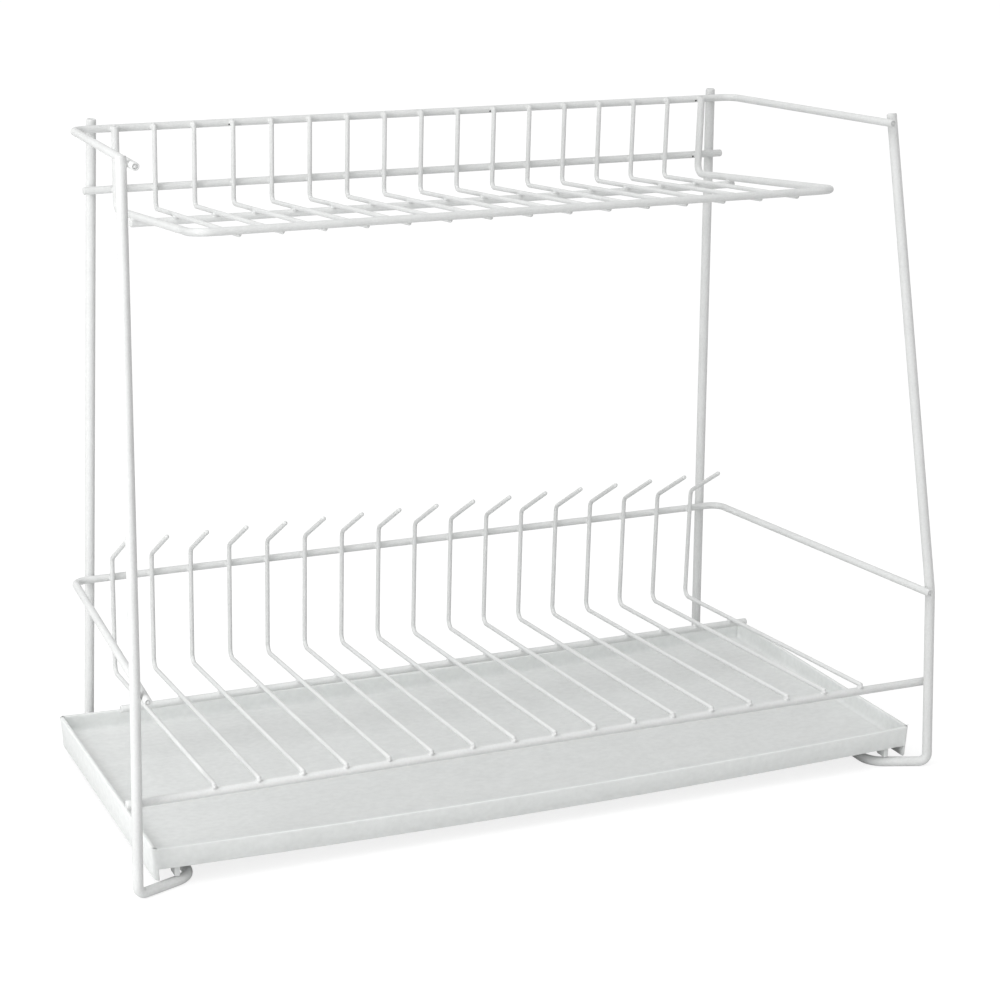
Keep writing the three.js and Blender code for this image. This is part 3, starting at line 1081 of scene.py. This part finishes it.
@dataclass
class WeldPits:
    """Tiny weld pits beside a few crossings of the upper rack, drawn as flattened blobs in painted
    shade.
    """

    radius: float = 0.0006
    segments: int = 16
    rings: int = 10
    flat_share: float = 0.55
    drop: float = math.radians(24.0)
    clear_of_wire: float = 0.0003
    marked: tuple[tuple[str, str], ...] = (
        ("top_rail_wire", "shelf_rim_wire"),
        ("upper_back_rail_wire", "shelf_rim_wire"),
        ("top_rail_wire", "shelf_wire_03_round"),
        ("top_rail_wire", "shelf_wire_10_round"),
    )

    def build(self, crossings: list[Crossing]) -> bpy.types.Object:
        """Sets a pit beside each marked crossing of a rail and a hanger.

        Args:
            crossings: The crossings of the upper rack.

        Returns:
            The joined pits.
        """
        pits = [self._pit(crossings, rail, hanger) for rail, hanger in self.marked]
        return join(pits, "weld_pits_painted_shade")

    def _pit(self, crossings: list[Crossing], rail_name: str, hanger_name: str) -> bpy.types.Object:
        """Sets a pit, a flattened blob that carries painted shade, half into the front of a rail, just
        left of a hanger.

        Args:
            crossings: The crossings of the upper rack.
            rail_name: Name of the rail's piece.
            hanger_name: Name of the hanger's piece, whose rightmost crossing is taken.

        Returns:
            The pit.
        """
        crossing = max(
            (c for c in crossings if {c.first.name, c.second.name} == {rail_name, hanger_name}),
            key=lambda c: c.first_point.x,
        )
        rail, hanger, rail_point = crossing.first, crossing.second, crossing.first_point
        if rail.name != rail_name:
            rail, hanger, rail_point = hanger, rail, crossing.second_point
        outwards = Vector((0.0, -math.cos(self.drop), -math.sin(self.drop)))
        place = rail_point + outwards * rail.radius - ACROSS * (hanger.radius + self.clear_of_wire)
        bpy.ops.object.select_all(action="DESELECT")
        bpy.ops.mesh.primitive_uv_sphere_add(
            segments=self.segments, ring_count=self.rings, radius=self.radius, location=place,
            rotation=outwards.to_track_quat("Z", "Y").to_euler(),
        )
        pit = bpy.context.object
        bpy.ops.object.mode_set(mode="EDIT")
        bpy.ops.mesh.select_all(action="SELECT")
        bpy.ops.transform.resize(
            value=(1.0, 1.0, self.flat_share), orient_type="LOCAL", center_override=place
        )
        bpy.ops.object.mode_set(mode="OBJECT")
        bpy.ops.object.transform_apply(location=True, rotation=True, scale=True)
        bpy.ops.object.shade_smooth()
        return pit


# Drip tray


@dataclass
class DripTrayShell:
    """The moulded tray: a sagging channel, end walls with skirts, and short ribs below."""

    frames: SideFrameWires
    half_width: float = 0.233
    front_depth: float = 0.0048
    rear_depth: float = 0.2205
    top: float = 0.0249
    floor: float = 0.015
    floor_thickness: float = 0.0023
    wall: float = 0.0023
    skirt: float = 0.0025
    draft: float = 0.001
    draft_top: float = 0.0006
    sag: float = 0.0035
    corner_round: float = 0.0031
    corner_segments: int = 6
    rim_round: float = 0.0006
    rim_segments: int = 3
    floor_fillet: float = 0.0026
    fillet_steps: int = 5
    lower_round: float = 0.0004
    lower_segments: int = 2
    bays: int = 24
    rib_inset: float = 0.0138
    rib_setback: float = 0.003
    rib_width: float = 0.003
    rib_length: float = 0.014
    rib_taper: float = 0.006
    rib_round: float = 0.0005
    rib_segments: int = 2
    straight_cosine: float = 0.9
    wall_cosine: float = 0.5
    level_tolerance: float = 1e-6
    sharp_angle: float = math.radians(50.0)
    smooth_angle: float = math.radians(32.0)

    @property
    def base(self) -> float:
        """Height of the skirts' and ribs' lower edges, just clear of the feet and runners."""
        stock = self.frames.stock
        return self.frames.runner_height + stock.frame_drawn + stock.weld_gap

    @property
    def underside(self) -> float:
        """Height of the floor's underside at the ends."""
        return self.floor - self.floor_thickness

    @property
    def middle(self) -> float:
        """Place of the tray's middle along the depth, in the drainer's frame."""
        return (self.front_depth + self.rear_depth) / 2 - self.frames.middle_depth

    @property
    def half_depth(self) -> float:
        """Half of the tray's depth over the walls."""
        return (self.rear_depth - self.front_depth) / 2

    @property
    def channel_half_width(self) -> float:
        """Half width of the channel between the skirts."""
        return self.half_width - self.skirt

    def sag_at(self, across: float) -> float:
        """How far the tray hangs down at a place across."""
        share = min(1.0, abs(across) / (self.half_width - self.wall / 2))
        return self.sag * (1.0 - share * share)

    def build(self) -> bpy.types.Object:
        """Makes the tray as one piece.

        Returns:
            The piece.
        """
        shell = self._block()
        self._cut_bays()
        self._hollow(shell.data)
        self._skirts(shell.data)
        self._draw_in(shell.data)
        self._round_edges(shell.data)
        self._let_sag(shell.data)
        close_shape(shell)
        ribs = [
            self._rib(side.value * across, front)
            for side in Side
            for across, front in (
                (self.half_width - self.rib_inset, self.front_depth + self.rib_setback),
                (self.frames.runner_half_width, self.rear_depth - self.rib_setback - self.rib_length),
            )
        ]
        tray = join([shell, *ribs], "drip_tray_shell")
        bpy.ops.object.shade_smooth_by_angle(angle=self.smooth_angle)
        return tray

    def _block(self) -> bpy.types.Object:
        """Adds the solid block that the tray is cut from, with rounded upright corners.

        Returns:
            The block in edit mode.
        """
        height = self.top - self.underside
        shell = start_block(
            "drip_tray_shell", Vector((0.0, self.middle, self.underside + height / 2)),
            Vector((2 * self.half_width, 2 * self.half_depth, height)),
        )
        select_parts(
            shell.data, MeshPart.EDGE,
            lambda edge: abs((edge.verts[0].co - edge.verts[1].co).normalized().z)
            > self.straight_cosine,
        )
        round_selected(self.corner_round, self.corner_segments)
        return shell

    def _cut_bays(self) -> None:
        """Cuts the block across into bays for the sag, and beside the end walls for the skirts."""
        reach = self.channel_half_width
        for bay in range(self.bays + 1):
            bpy.ops.mesh.select_all(action="SELECT")
            bpy.ops.mesh.bisect(
                plane_co=(-reach + 2 * reach * bay / self.bays, 0.0, 0.0), plane_no=ACROSS
            )

    def _hollow(self, mesh: bpy.types.Mesh) -> None:
        """Sinks the inside in steps that leave a rounded foot along the walls.

        Args:
            mesh: The tray's mesh in edit mode.
        """
        select_parts(mesh, MeshPart.FACE, lambda face: face.normal.z > self.straight_cosine)
        bpy.ops.mesh.inset(thickness=self.wall, depth=0.0, use_boundary=True, use_even_offset=True)
        half_x, half_y, height = self.half_width - self.wall, self.half_depth - self.wall, self.top
        drops = [(0.0, self.top - self.floor - self.floor_fillet)]
        for step in range(1, self.fillet_steps + 1):
            angle = math.pi / 2 * step / self.fillet_steps
            drops.append((
                self.floor_fillet * (1 - math.cos(angle)),
                self.top - self.floor - self.floor_fillet * (1 - math.sin(angle)),
            ))
        inwards_before = 0.0
        for inwards, drop in drops:
            lower = self.top - drop
            extrude(UPWARDS * (lower - height))
            bpy.ops.transform.resize(
                value=(
                    (half_x - inwards) / (half_x - inwards_before),
                    (half_y - inwards) / (half_y - inwards_before), 1.0,
                ),
                center_override=(0.0, self.middle, lower),
            )
            height, inwards_before = lower, inwards

    def _skirts(self, mesh: bpy.types.Mesh) -> None:
        """Pulls the end walls' undersides down to the feet.

        Args:
            mesh: The tray's mesh in edit mode.
        """
        select_parts(
            mesh, MeshPart.FACE,
            lambda face: face.normal.z < -self.straight_cosine
            and abs(face.calc_center_median().x) > self.channel_half_width,
        )
        extrude(UPWARDS * (self.base - self.underside))

    def _draw_in(self, mesh: bpy.types.Mesh) -> None:
        """Drafts the outer faces by drawing the underside and skirts in towards the bottom.

        Args:
            mesh: The tray's mesh in edit mode.
        """
        shape = bmesh.from_edit_mesh(mesh)
        for vertex in shape.verts:
            if vertex.co.z > self.underside + self.draft_top:
                continue
            share = (self.top - vertex.co.z) / (self.top - self.base)
            vertex.co.x *= 1 - self.draft * share / self.half_width
            depth = vertex.co.y - self.middle
            vertex.co.y = self.middle + depth * (1 - self.draft * share / self.half_depth)
        bmesh.update_edit_mesh(mesh)

    def _round_edges(self, mesh: bpy.types.Mesh) -> None:
        """Rounds the rim and the lower edges.

        Args:
            mesh: The tray's mesh in edit mode.
        """
        near = self.level_tolerance
        select_parts(
            mesh, MeshPart.EDGE,
            lambda edge: all(abs(v.co.z - self.top) < near for v in edge.verts)
            and any(abs(face.normal.z) < self.wall_cosine for face in edge.link_faces),
        )
        round_selected(self.rim_round, self.rim_segments)
        select_parts(
            mesh, MeshPart.EDGE,
            lambda edge: all(v.co.z < self.underside + near for v in edge.verts)
            and edge.calc_face_angle(0.0) > self.sharp_angle
            and abs(edge.verts[0].co.z - edge.verts[1].co.z) < near,
        )
        round_selected(self.lower_round, self.lower_segments)

    def _let_sag(self, mesh: bpy.types.Mesh) -> None:
        """Lets the channel hang down in the middle.

        Args:
            mesh: The tray's mesh in edit mode.
        """
        shape = bmesh.from_edit_mesh(mesh)
        for vertex in shape.verts:
            vertex.co.z -= self.sag_at(vertex.co.x)
        bmesh.update_edit_mesh(mesh)

    def _rib(self, across: float, front: float) -> bpy.types.Object:
        """Makes one short rib that is let into half the floor.

        Args:
            across: Its place across.
            front: Depth of its front end behind the front feet.

        Returns:
            The rib.
        """
        top = self.floor - self.floor_thickness / 2 - self.sag_at(across)
        middle = front + self.rib_length / 2 - self.frames.middle_depth
        rib = start_block(
            "drip_tray_rib", Vector((across, middle, (top + self.base) / 2)),
            Vector((self.rib_width, self.rib_length, top - self.base)),
        )
        select_parts(
            rib.data, MeshPart.EDGE,
            lambda edge: all(v.co.y > middle and v.co.z < (top + self.base) / 2 for v in edge.verts),
        )
        bpy.ops.transform.translate(value=(0.0, -self.rib_taper, 0.0))
        bpy.ops.mesh.select_all(action="SELECT")
        round_selected(self.rib_round, self.rib_segments)
        close_shape(rib)
        return rib


# Finishes


NodeValue = float | tuple[float, ...]


def set_inputs(node: bpy.types.Node, values: dict[str, NodeValue]) -> None:
    """Sets values of a node's inputs by their names."""
    for label, value in values.items():
        node.inputs[label].default_value = value


def math_node(
    tree: bpy.types.NodeTree, operation: str, *terms: bpy.types.NodeSocket | float
) -> bpy.types.NodeSocket:
    """Adds a Math node.

    Args:
        tree: The node tree.
        operation: What the node works out.
        terms: A socket or a number for each input in turn.

    Returns:
        The socket of its result.
    """
    node = tree.nodes.new("ShaderNodeMath")
    node.operation = operation
    for socket, term in zip(node.inputs, terms):
        if isinstance(term, bpy.types.NodeSocket):
            tree.links.new(term, socket)
        else:
            socket.default_value = term
    return node.outputs[0]


def noise_node(
    tree: bpy.types.NodeTree, place: bpy.types.NodeSocket, scale: bpy.types.NodeSocket, detail: float
) -> bpy.types.NodeSocket:
    """Adds a noise pattern.

    Args:
        tree: The node tree.
        place: Socket of the coordinates.
        scale: Socket of the scale.
        detail: Octaves of finer noise.

    Returns:
        The socket of its value.
    """
    noise = tree.nodes.new("ShaderNodeTexNoise")
    noise.inputs["Detail"].default_value = detail
    tree.links.new(place, noise.inputs["Vector"])
    tree.links.new(scale, noise.inputs["Scale"])
    return noise.outputs["Fac"]


def start_group(
    name: str, inputs: tuple[str, ...], output: str
) -> tuple[bpy.types.NodeTree, bpy.types.Node, bpy.types.Node]:
    """Starts a shader node group with number inputs and one number output.

    Args:
        name: Name of the group.
        inputs: Names of the inputs.
        output: Name of the output.

    Returns:
        The group with its input and output nodes.
    """
    group = bpy.data.node_groups.new(name, "ShaderNodeTree")
    for label in inputs:
        group.interface.new_socket(label, in_out="INPUT", socket_type="NodeSocketFloat")
    group.interface.new_socket(output, in_out="OUTPUT", socket_type="NodeSocketFloat")
    return group, group.nodes.new("NodeGroupInput"), group.nodes.new("NodeGroupOutput")


@dataclass(frozen=True)
class Mottling:
    """Uneven tone of a moulded or dipped surface: broad clouds and fine specks, about one."""

    cloud_scale: float
    speck_scale: float
    cloud_depth: float
    speck_depth: float
    length_share: float

    CLOUD_DETAIL: ClassVar[float] = 4.0
    SPECK_DETAIL: ClassVar[float] = 2.0
    NOISE_MIDDLE: ClassVar[float] = 0.5

    @classmethod
    def group(cls) -> bpy.types.NodeTree:
        """Makes the node group, whose inputs are the fields of this class.

        Returns:
            The group, which puts out a tone.
        """
        labels = tuple(value.name for value in fields(cls))
        group, given, result = start_group("uneven_tone", labels, "tone")
        place = group.nodes.new("ShaderNodeTexCoord")
        stretch = group.nodes.new("ShaderNodeCombineXYZ")
        set_inputs(stretch, {"Y": 1.0, "Z": 1.0})
        group.links.new(given.outputs["length_share"], stretch.inputs["X"])
        stretched = group.nodes.new("ShaderNodeVectorMath")
        stretched.operation = "MULTIPLY"
        group.links.new(place.outputs["Object"], stretched.inputs[0])
        group.links.new(stretch.outputs["Vector"], stretched.inputs[1])
        tone: bpy.types.NodeSocket | float = 1.0
        for kind, detail in (("cloud", cls.CLOUD_DETAIL), ("speck", cls.SPECK_DETAIL)):
            scale, depth = given.outputs[f"{kind}_scale"], given.outputs[f"{kind}_depth"]
            noise = noise_node(group, stretched.outputs["Vector"], scale, detail)
            centred = math_node(group, "SUBTRACT", noise, cls.NOISE_MIDDLE)
            tone = math_node(group, "MULTIPLY_ADD", centred, depth, tone)
        group.links.new(tone, result.inputs["tone"])
        return group


@dataclass(frozen=True)
class Skin:
    """Height of a dipped or moulded skin: soft waves and a fine orange peel."""

    wave_scale: float
    peel_scale: float
    peel_share: float

    WAVE_DETAIL: ClassVar[float] = 1.0
    PEEL_DETAIL: ClassVar[float] = 2.0

    @classmethod
    def group(cls) -> bpy.types.NodeTree:
        """Makes the node group, whose inputs are the fields of this class.

        Returns:
            The group, which puts out a height.
        """
        labels = tuple(value.name for value in fields(cls))
        group, given, result = start_group("skin_relief", labels, "height")
        place = group.nodes.new("ShaderNodeTexCoord").outputs["Object"]
        waves = noise_node(group, place, given.outputs["wave_scale"], cls.WAVE_DETAIL)
        peel = noise_node(group, place, given.outputs["peel_scale"], cls.PEEL_DETAIL)
        height = math_node(group, "MULTIPLY_ADD", peel, given.outputs["peel_share"], waves)
        group.links.new(height, result.inputs["height"])
        return group


def use_group(
    tree: bpy.types.NodeTree, group: bpy.types.NodeTree, values: Mottling | Skin
) -> bpy.types.NodeSocket:
    """Places a node group in a material with the values of one finish.

    Args:
        tree: The material's node tree.
        group: The node group.
        values: The values of its inputs.

    Returns:
        The socket of its output.
    """
    node = tree.nodes.new("ShaderNodeGroup")
    node.node_tree = group
    set_inputs(node, asdict(values))
    return node.outputs[0]


@dataclass(frozen=True)
class Finish:
    """A finish of one material: its colour, gloss, unevenness and relief."""

    name: str
    color: tuple[float, float, float]
    roughness: float
    roughness_spread: float
    gloss: float
    light_through: float
    coat: float
    coat_roughness: float
    mottling: Mottling
    skin: Skin
    relief_strength: float
    relief_distance: float
    light_depth: float = 0.004

    def material(self, tone: bpy.types.NodeTree, relief: bpy.types.NodeTree) -> bpy.types.Material:
        """Makes the material of the finish.

        Args:
            tone: The node group of uneven tone.
            relief: The node group of skin relief.

        Returns:
            The material.
        """
        material = bpy.data.materials.new(self.name)
        material.use_nodes = True
        tree = material.node_tree
        shader = tree.nodes["Principled BSDF"]
        set_inputs(shader, {
            "Specular IOR Level": self.gloss,
            "Subsurface Weight": self.light_through,
            "Subsurface Radius": (1.0, 1.0, 1.0),
            "Subsurface Scale": self.light_depth,
            "Coat Weight": self.coat,
            "Coat Roughness": self.coat_roughness,
        })
        uneven = use_group(tree, tone, self.mottling)
        tint = tree.nodes.new("ShaderNodeVectorMath")
        tint.operation = "SCALE"
        tint.inputs[0].default_value = self.color
        tree.links.new(uneven, tint.inputs["Scale"])
        tree.links.new(tint.outputs["Vector"], shader.inputs["Base Color"])
        gloss = tree.nodes.new("ShaderNodeMapRange")
        set_inputs(gloss, {
            "From Min": 1.0 - self.mottling.cloud_depth / 2,
            "From Max": 1.0 + self.mottling.cloud_depth / 2,
            "To Min": self.roughness + self.roughness_spread,
            "To Max": self.roughness - self.roughness_spread,
        })
        tree.links.new(uneven, gloss.inputs["Value"])
        tree.links.new(gloss.outputs["Result"], shader.inputs["Roughness"])
        bump = tree.nodes.new("ShaderNodeBump")
        set_inputs(bump, {"Strength": self.relief_strength, "Distance": self.relief_distance})
        tree.links.new(use_group(tree, relief, self.skin), bump.inputs["Height"])
        tree.links.new(bump.outputs["Normal"], shader.inputs["Normal"])
        return material


COATED_WIRE = Finish(
    name="coated_wire_white", color=(0.705, 0.713, 0.708), roughness=0.46, roughness_spread=0.06,
    gloss=0.2, light_through=0.0, coat=0.0, coat_roughness=0.2,
    mottling=Mottling(
        cloud_scale=60.0, speck_scale=800.0, cloud_depth=0.13, speck_depth=0.14, length_share=1.0
    ),
    skin=Skin(wave_scale=260.0, peel_scale=1100.0, peel_share=0.4),
    relief_strength=0.45, relief_distance=0.0002,
)
TRAY_PLASTIC = Finish(
    name="tray_satin_plastic", color=(0.72, 0.735, 0.727), roughness=0.55, roughness_spread=0.07,
    gloss=0.14, light_through=0.7, coat=0.03, coat_roughness=0.35,
    mottling=Mottling(
        cloud_scale=60.0, speck_scale=300.0, cloud_depth=0.09, speck_depth=0.16, length_share=0.85
    ),
    skin=Skin(wave_scale=90.0, peel_scale=700.0, peel_share=0.35),
    relief_strength=0.35, relief_distance=0.0003,
)
# Painted shade: the near-black colour stands for the shade inside each weld pinhole, which is drawn as
# a blob on the rail and not as a hole.
WELD_PIT_PAINTED_SHADE = Finish(
    name="weld_pit_painted_shade", color=(0.012, 0.011, 0.01), roughness=0.7, roughness_spread=0.1,
    gloss=0.3, light_through=0.0, coat=0.0, coat_roughness=0.3,
    mottling=Mottling(
        cloud_scale=300.0, speck_scale=2000.0, cloud_depth=0.4, speck_depth=0.3, length_share=1.0
    ),
    skin=Skin(wave_scale=900.0, peel_scale=3000.0, peel_share=0.5),
    relief_strength=0.4, relief_distance=0.0001,
)


# Studio


def grey(level: float) -> tuple[float, ...]:
    """An opaque grey of a level."""
    return (level, level, level, 1.0)


def add_to_stage(
    name: str, data: bpy.types.Light | bpy.types.Camera, place: Vector, turn: Euler
) -> bpy.types.Object:
    """Adds a lamp or camera to the scene.

    Args:
        name: Name of the object.
        data: The lamp or camera.
        place: Where it stands.
        turn: How it is turned.

    Returns:
        The object.
    """
    holder = bpy.data.objects.new(name, data)
    bpy.context.scene.collection.objects.link(holder)
    holder.location = place
    holder.rotation_euler = turn
    return holder


@dataclass(frozen=True)
class SoftLamp:
    """An upright area lamp that points at the drainer."""

    name: str
    place: tuple[float, float, float]
    aim: tuple[float, float, float]
    width: float
    height: float
    power: float

    def build(self) -> None:
        """Adds the lamp."""
        lamp = bpy.data.lights.new(self.name, "AREA")
        lamp.shape = "RECTANGLE"
        lamp.size = self.width
        lamp.size_y = self.height
        lamp.energy = self.power
        place = Vector(self.place)
        turn = (Vector(self.aim) - place).to_track_quat("-Z", "Y").to_euler()
        add_to_stage(self.name, lamp, place, turn)


@dataclass(frozen=True)
class WideLamp:
    """A distant soft lamp that lights everything evenly from one side."""

    name: str
    comes_from: tuple[float, float, float]
    level: float
    spread: float

    def build(self) -> None:
        """Adds the lamp, whose level is the brightness of a white face turned to it."""
        lamp = bpy.data.lights.new(self.name, "SUN")
        lamp.energy = self.level * math.pi
        lamp.angle = self.spread
        turn = Vector(self.comes_from).to_track_quat("Z", "Y").to_euler()
        add_to_stage(self.name, lamp, ORIGIN, turn)


@dataclass
class Studio:
    """Pale floor, white surroundings, soft lamps and the camera."""

    camera_place: tuple[float, float, float] = (-0.53028, -1.29192, 0.55802)
    camera_yaw: float = 0.398756
    camera_pitch: float = 0.276284
    focal_length: float = 88.6
    sensor: float = 36.0
    nearest_seen: float = 0.01
    farthest_seen: float = 50.0
    floor_size: float = 60.0
    floor_roughness: float = 0.9
    floor_seen: float = 0.27
    floor_bounce: float = 0.76
    floor_glow: float = 0.8
    surround_level: float = 0.39
    lamps: tuple[SoftLamp | WideLamp, ...] = (
        WideLamp(
            name="lamp_front", comes_from=(-0.1, -0.9, 0.3), level=0.16, spread=math.radians(60.0)
        ),
        WideLamp(
            name="lamp_top", comes_from=(-0.38, -0.18, 1.0), level=0.47, spread=math.radians(60.0)
        ),
        SoftLamp(
            name="lamp_left", place=(-0.92, -0.34, 0.4), aim=(-0.1, -0.05, 0.15),
            width=0.32, height=0.85, power=4.2,
        ),
    )

    def build(self) -> None:
        """Sets the stage, lights and camera."""
        self._floor()
        self._surroundings()
        for lamp in self.lamps:
            lamp.build()
        self._camera()
        bpy.context.scene.view_settings.view_transform = "Standard"

    def _floor(self) -> None:
        """Adds the pale floor, which glows to the camera alone and keeps the drainer's shadow."""
        bpy.ops.object.select_all(action="DESELECT")
        bpy.ops.mesh.primitive_plane_add(size=self.floor_size, location=ORIGIN)
        floor = bpy.context.object
        floor.name = "studio_floor"
        material = bpy.data.materials.new("studio_floor_pale")
        material.use_nodes = True
        tree = material.node_tree
        shader = tree.nodes["Principled BSDF"]
        set_inputs(shader, {
            "Roughness": self.floor_roughness, "Specular IOR Level": 0.0, "Emission Color": WHITE,
        })
        seen = tree.nodes.new("ShaderNodeLightPath").outputs["Is Camera Ray"]
        shade = tree.nodes.new("ShaderNodeMix")
        shade.data_type = "RGBA"
        set_inputs(shade, {"A": grey(self.floor_bounce), "B": grey(self.floor_seen)})
        tree.links.new(seen, shade.inputs["Factor"])
        tree.links.new(shade.outputs["Result"], shader.inputs["Base Color"])
        glow = math_node(tree, "MULTIPLY", seen, self.floor_glow)
        tree.links.new(glow, shader.inputs["Emission Strength"])
        floor.data.materials.append(material)

    def _surroundings(self) -> None:
        """Makes the surroundings white to the camera and gloss, and a plain level elsewhere."""
        world = bpy.data.worlds.new("studio_white")
        bpy.context.scene.world = world
        world.use_nodes = True
        tree = world.node_tree
        background = tree.nodes["Background"]
        background.inputs["Color"].default_value = WHITE
        path = tree.nodes.new("ShaderNodeLightPath")
        seen = path.outputs["Is Camera Ray"]
        for ray in ("Is Glossy Ray", "Is Transmission Ray"):
            seen = math_node(tree, "MAXIMUM", seen, path.outputs[ray])
        level = tree.nodes.new("ShaderNodeMapRange")
        set_inputs(level, {"To Min": self.surround_level, "To Max": 1.0})
        tree.links.new(seen, level.inputs["Value"])
        tree.links.new(level.outputs["Result"], background.inputs["Strength"])

    def _camera(self) -> None:
        """Places the camera at the photograph's viewing angle."""
        lens = bpy.data.cameras.new("camera")
        lens.lens = self.focal_length
        lens.sensor_width = self.sensor
        lens.clip_start = self.nearest_seen
        lens.clip_end = self.farthest_seen
        turn = Euler((math.pi / 2 - self.camera_pitch, 0.0, -self.camera_yaw))
        bpy.context.scene.camera = add_to_stage("camera", lens, Vector(self.camera_place), turn)


# The whole drainer


FRAME_WELD_FILLET = 0.0005


def dress(piece: bpy.types.Object, material: bpy.types.Material, body: str) -> None:
    """Gives a piece its material and the body it moves with.

    Args:
        piece: The finished piece.
        material: Its material.
        body: The body that it rides on.
    """
    piece.data.materials.clear()
    piece.data.materials.append(material)
    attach(piece, body)


def main() -> None:
    """Builds the drainer and its studio in order."""
    logging.basicConfig(level=logging.INFO, format="%(name)s: %(message)s")
    tone, relief = Mottling.group(), Skin.group()
    coated = COATED_WIRE.material(tone, relief)
    plastic = TRAY_PLASTIC.material(tone, relief)
    dark = WELD_PIT_PAINTED_SHADE.material(tone, relief)
    bender = WireBender()
    frames = SideFrameWires()

    frame_pieces = {f"{side.name.lower()}_side_frame": frames.build(bender, side) for side in Side}
    upper = UpperRackWires(frames).build(bender)
    lower = LowerRackWires(frames).build(bender)
    for node, (piece, wire) in {**frame_pieces, **upper, **lower}.items():
        dress(piece, coated, RACK_BODY)
        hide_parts(node)
        log.info("%s stands for %s, %d runs", piece.name, node, len(wire.runs))

    welder, frame_welder = WeldMaker(), WeldMaker(FRAME_WELD_FILLET)
    side_wires = [wire for _, wire in frame_pieces.values()]
    upper_wires = [wire for _, wire in upper.values()]
    lower_wires = [wire for _, wire in lower.values()]
    upper_crossings = welder.crossings(upper_wires)
    lower_crossings = welder.crossings(lower_wires)
    frame_crossings = [
        crossing
        for crossing in welder.crossings([*side_wires, *upper_wires, *lower_wires])
        if (crossing.first in side_wires) != (crossing.second in side_wires)
    ]
    for name, maker, crossings in (
        ("welds_upper_rack", welder, upper_crossings),
        ("welds_lower_rack", welder, lower_crossings),
        ("welds_side_frames", frame_welder, frame_crossings),
    ):
        dress(maker.build(name, crossings), coated, RACK_BODY)
        log.info("%s has %d welds", name, len(crossings))
    pits = WeldPits()
    # The pits get the near-black finish, painted shade for the inside of each pinhole.
    dress(pits.build(upper_crossings), dark, RACK_BODY)
    log.info("weld_pits_painted_shade has %d pits", len(pits.marked))

    tray = DripTrayShell(frames).build()
    dress(tray, plastic, TRAY_BODY)
    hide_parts("drip_tray")
    log.info("%s has %d faces", tray.name, len(tray.data.polygons))

    Studio().build()


if __name__ == "__main__":
    main()
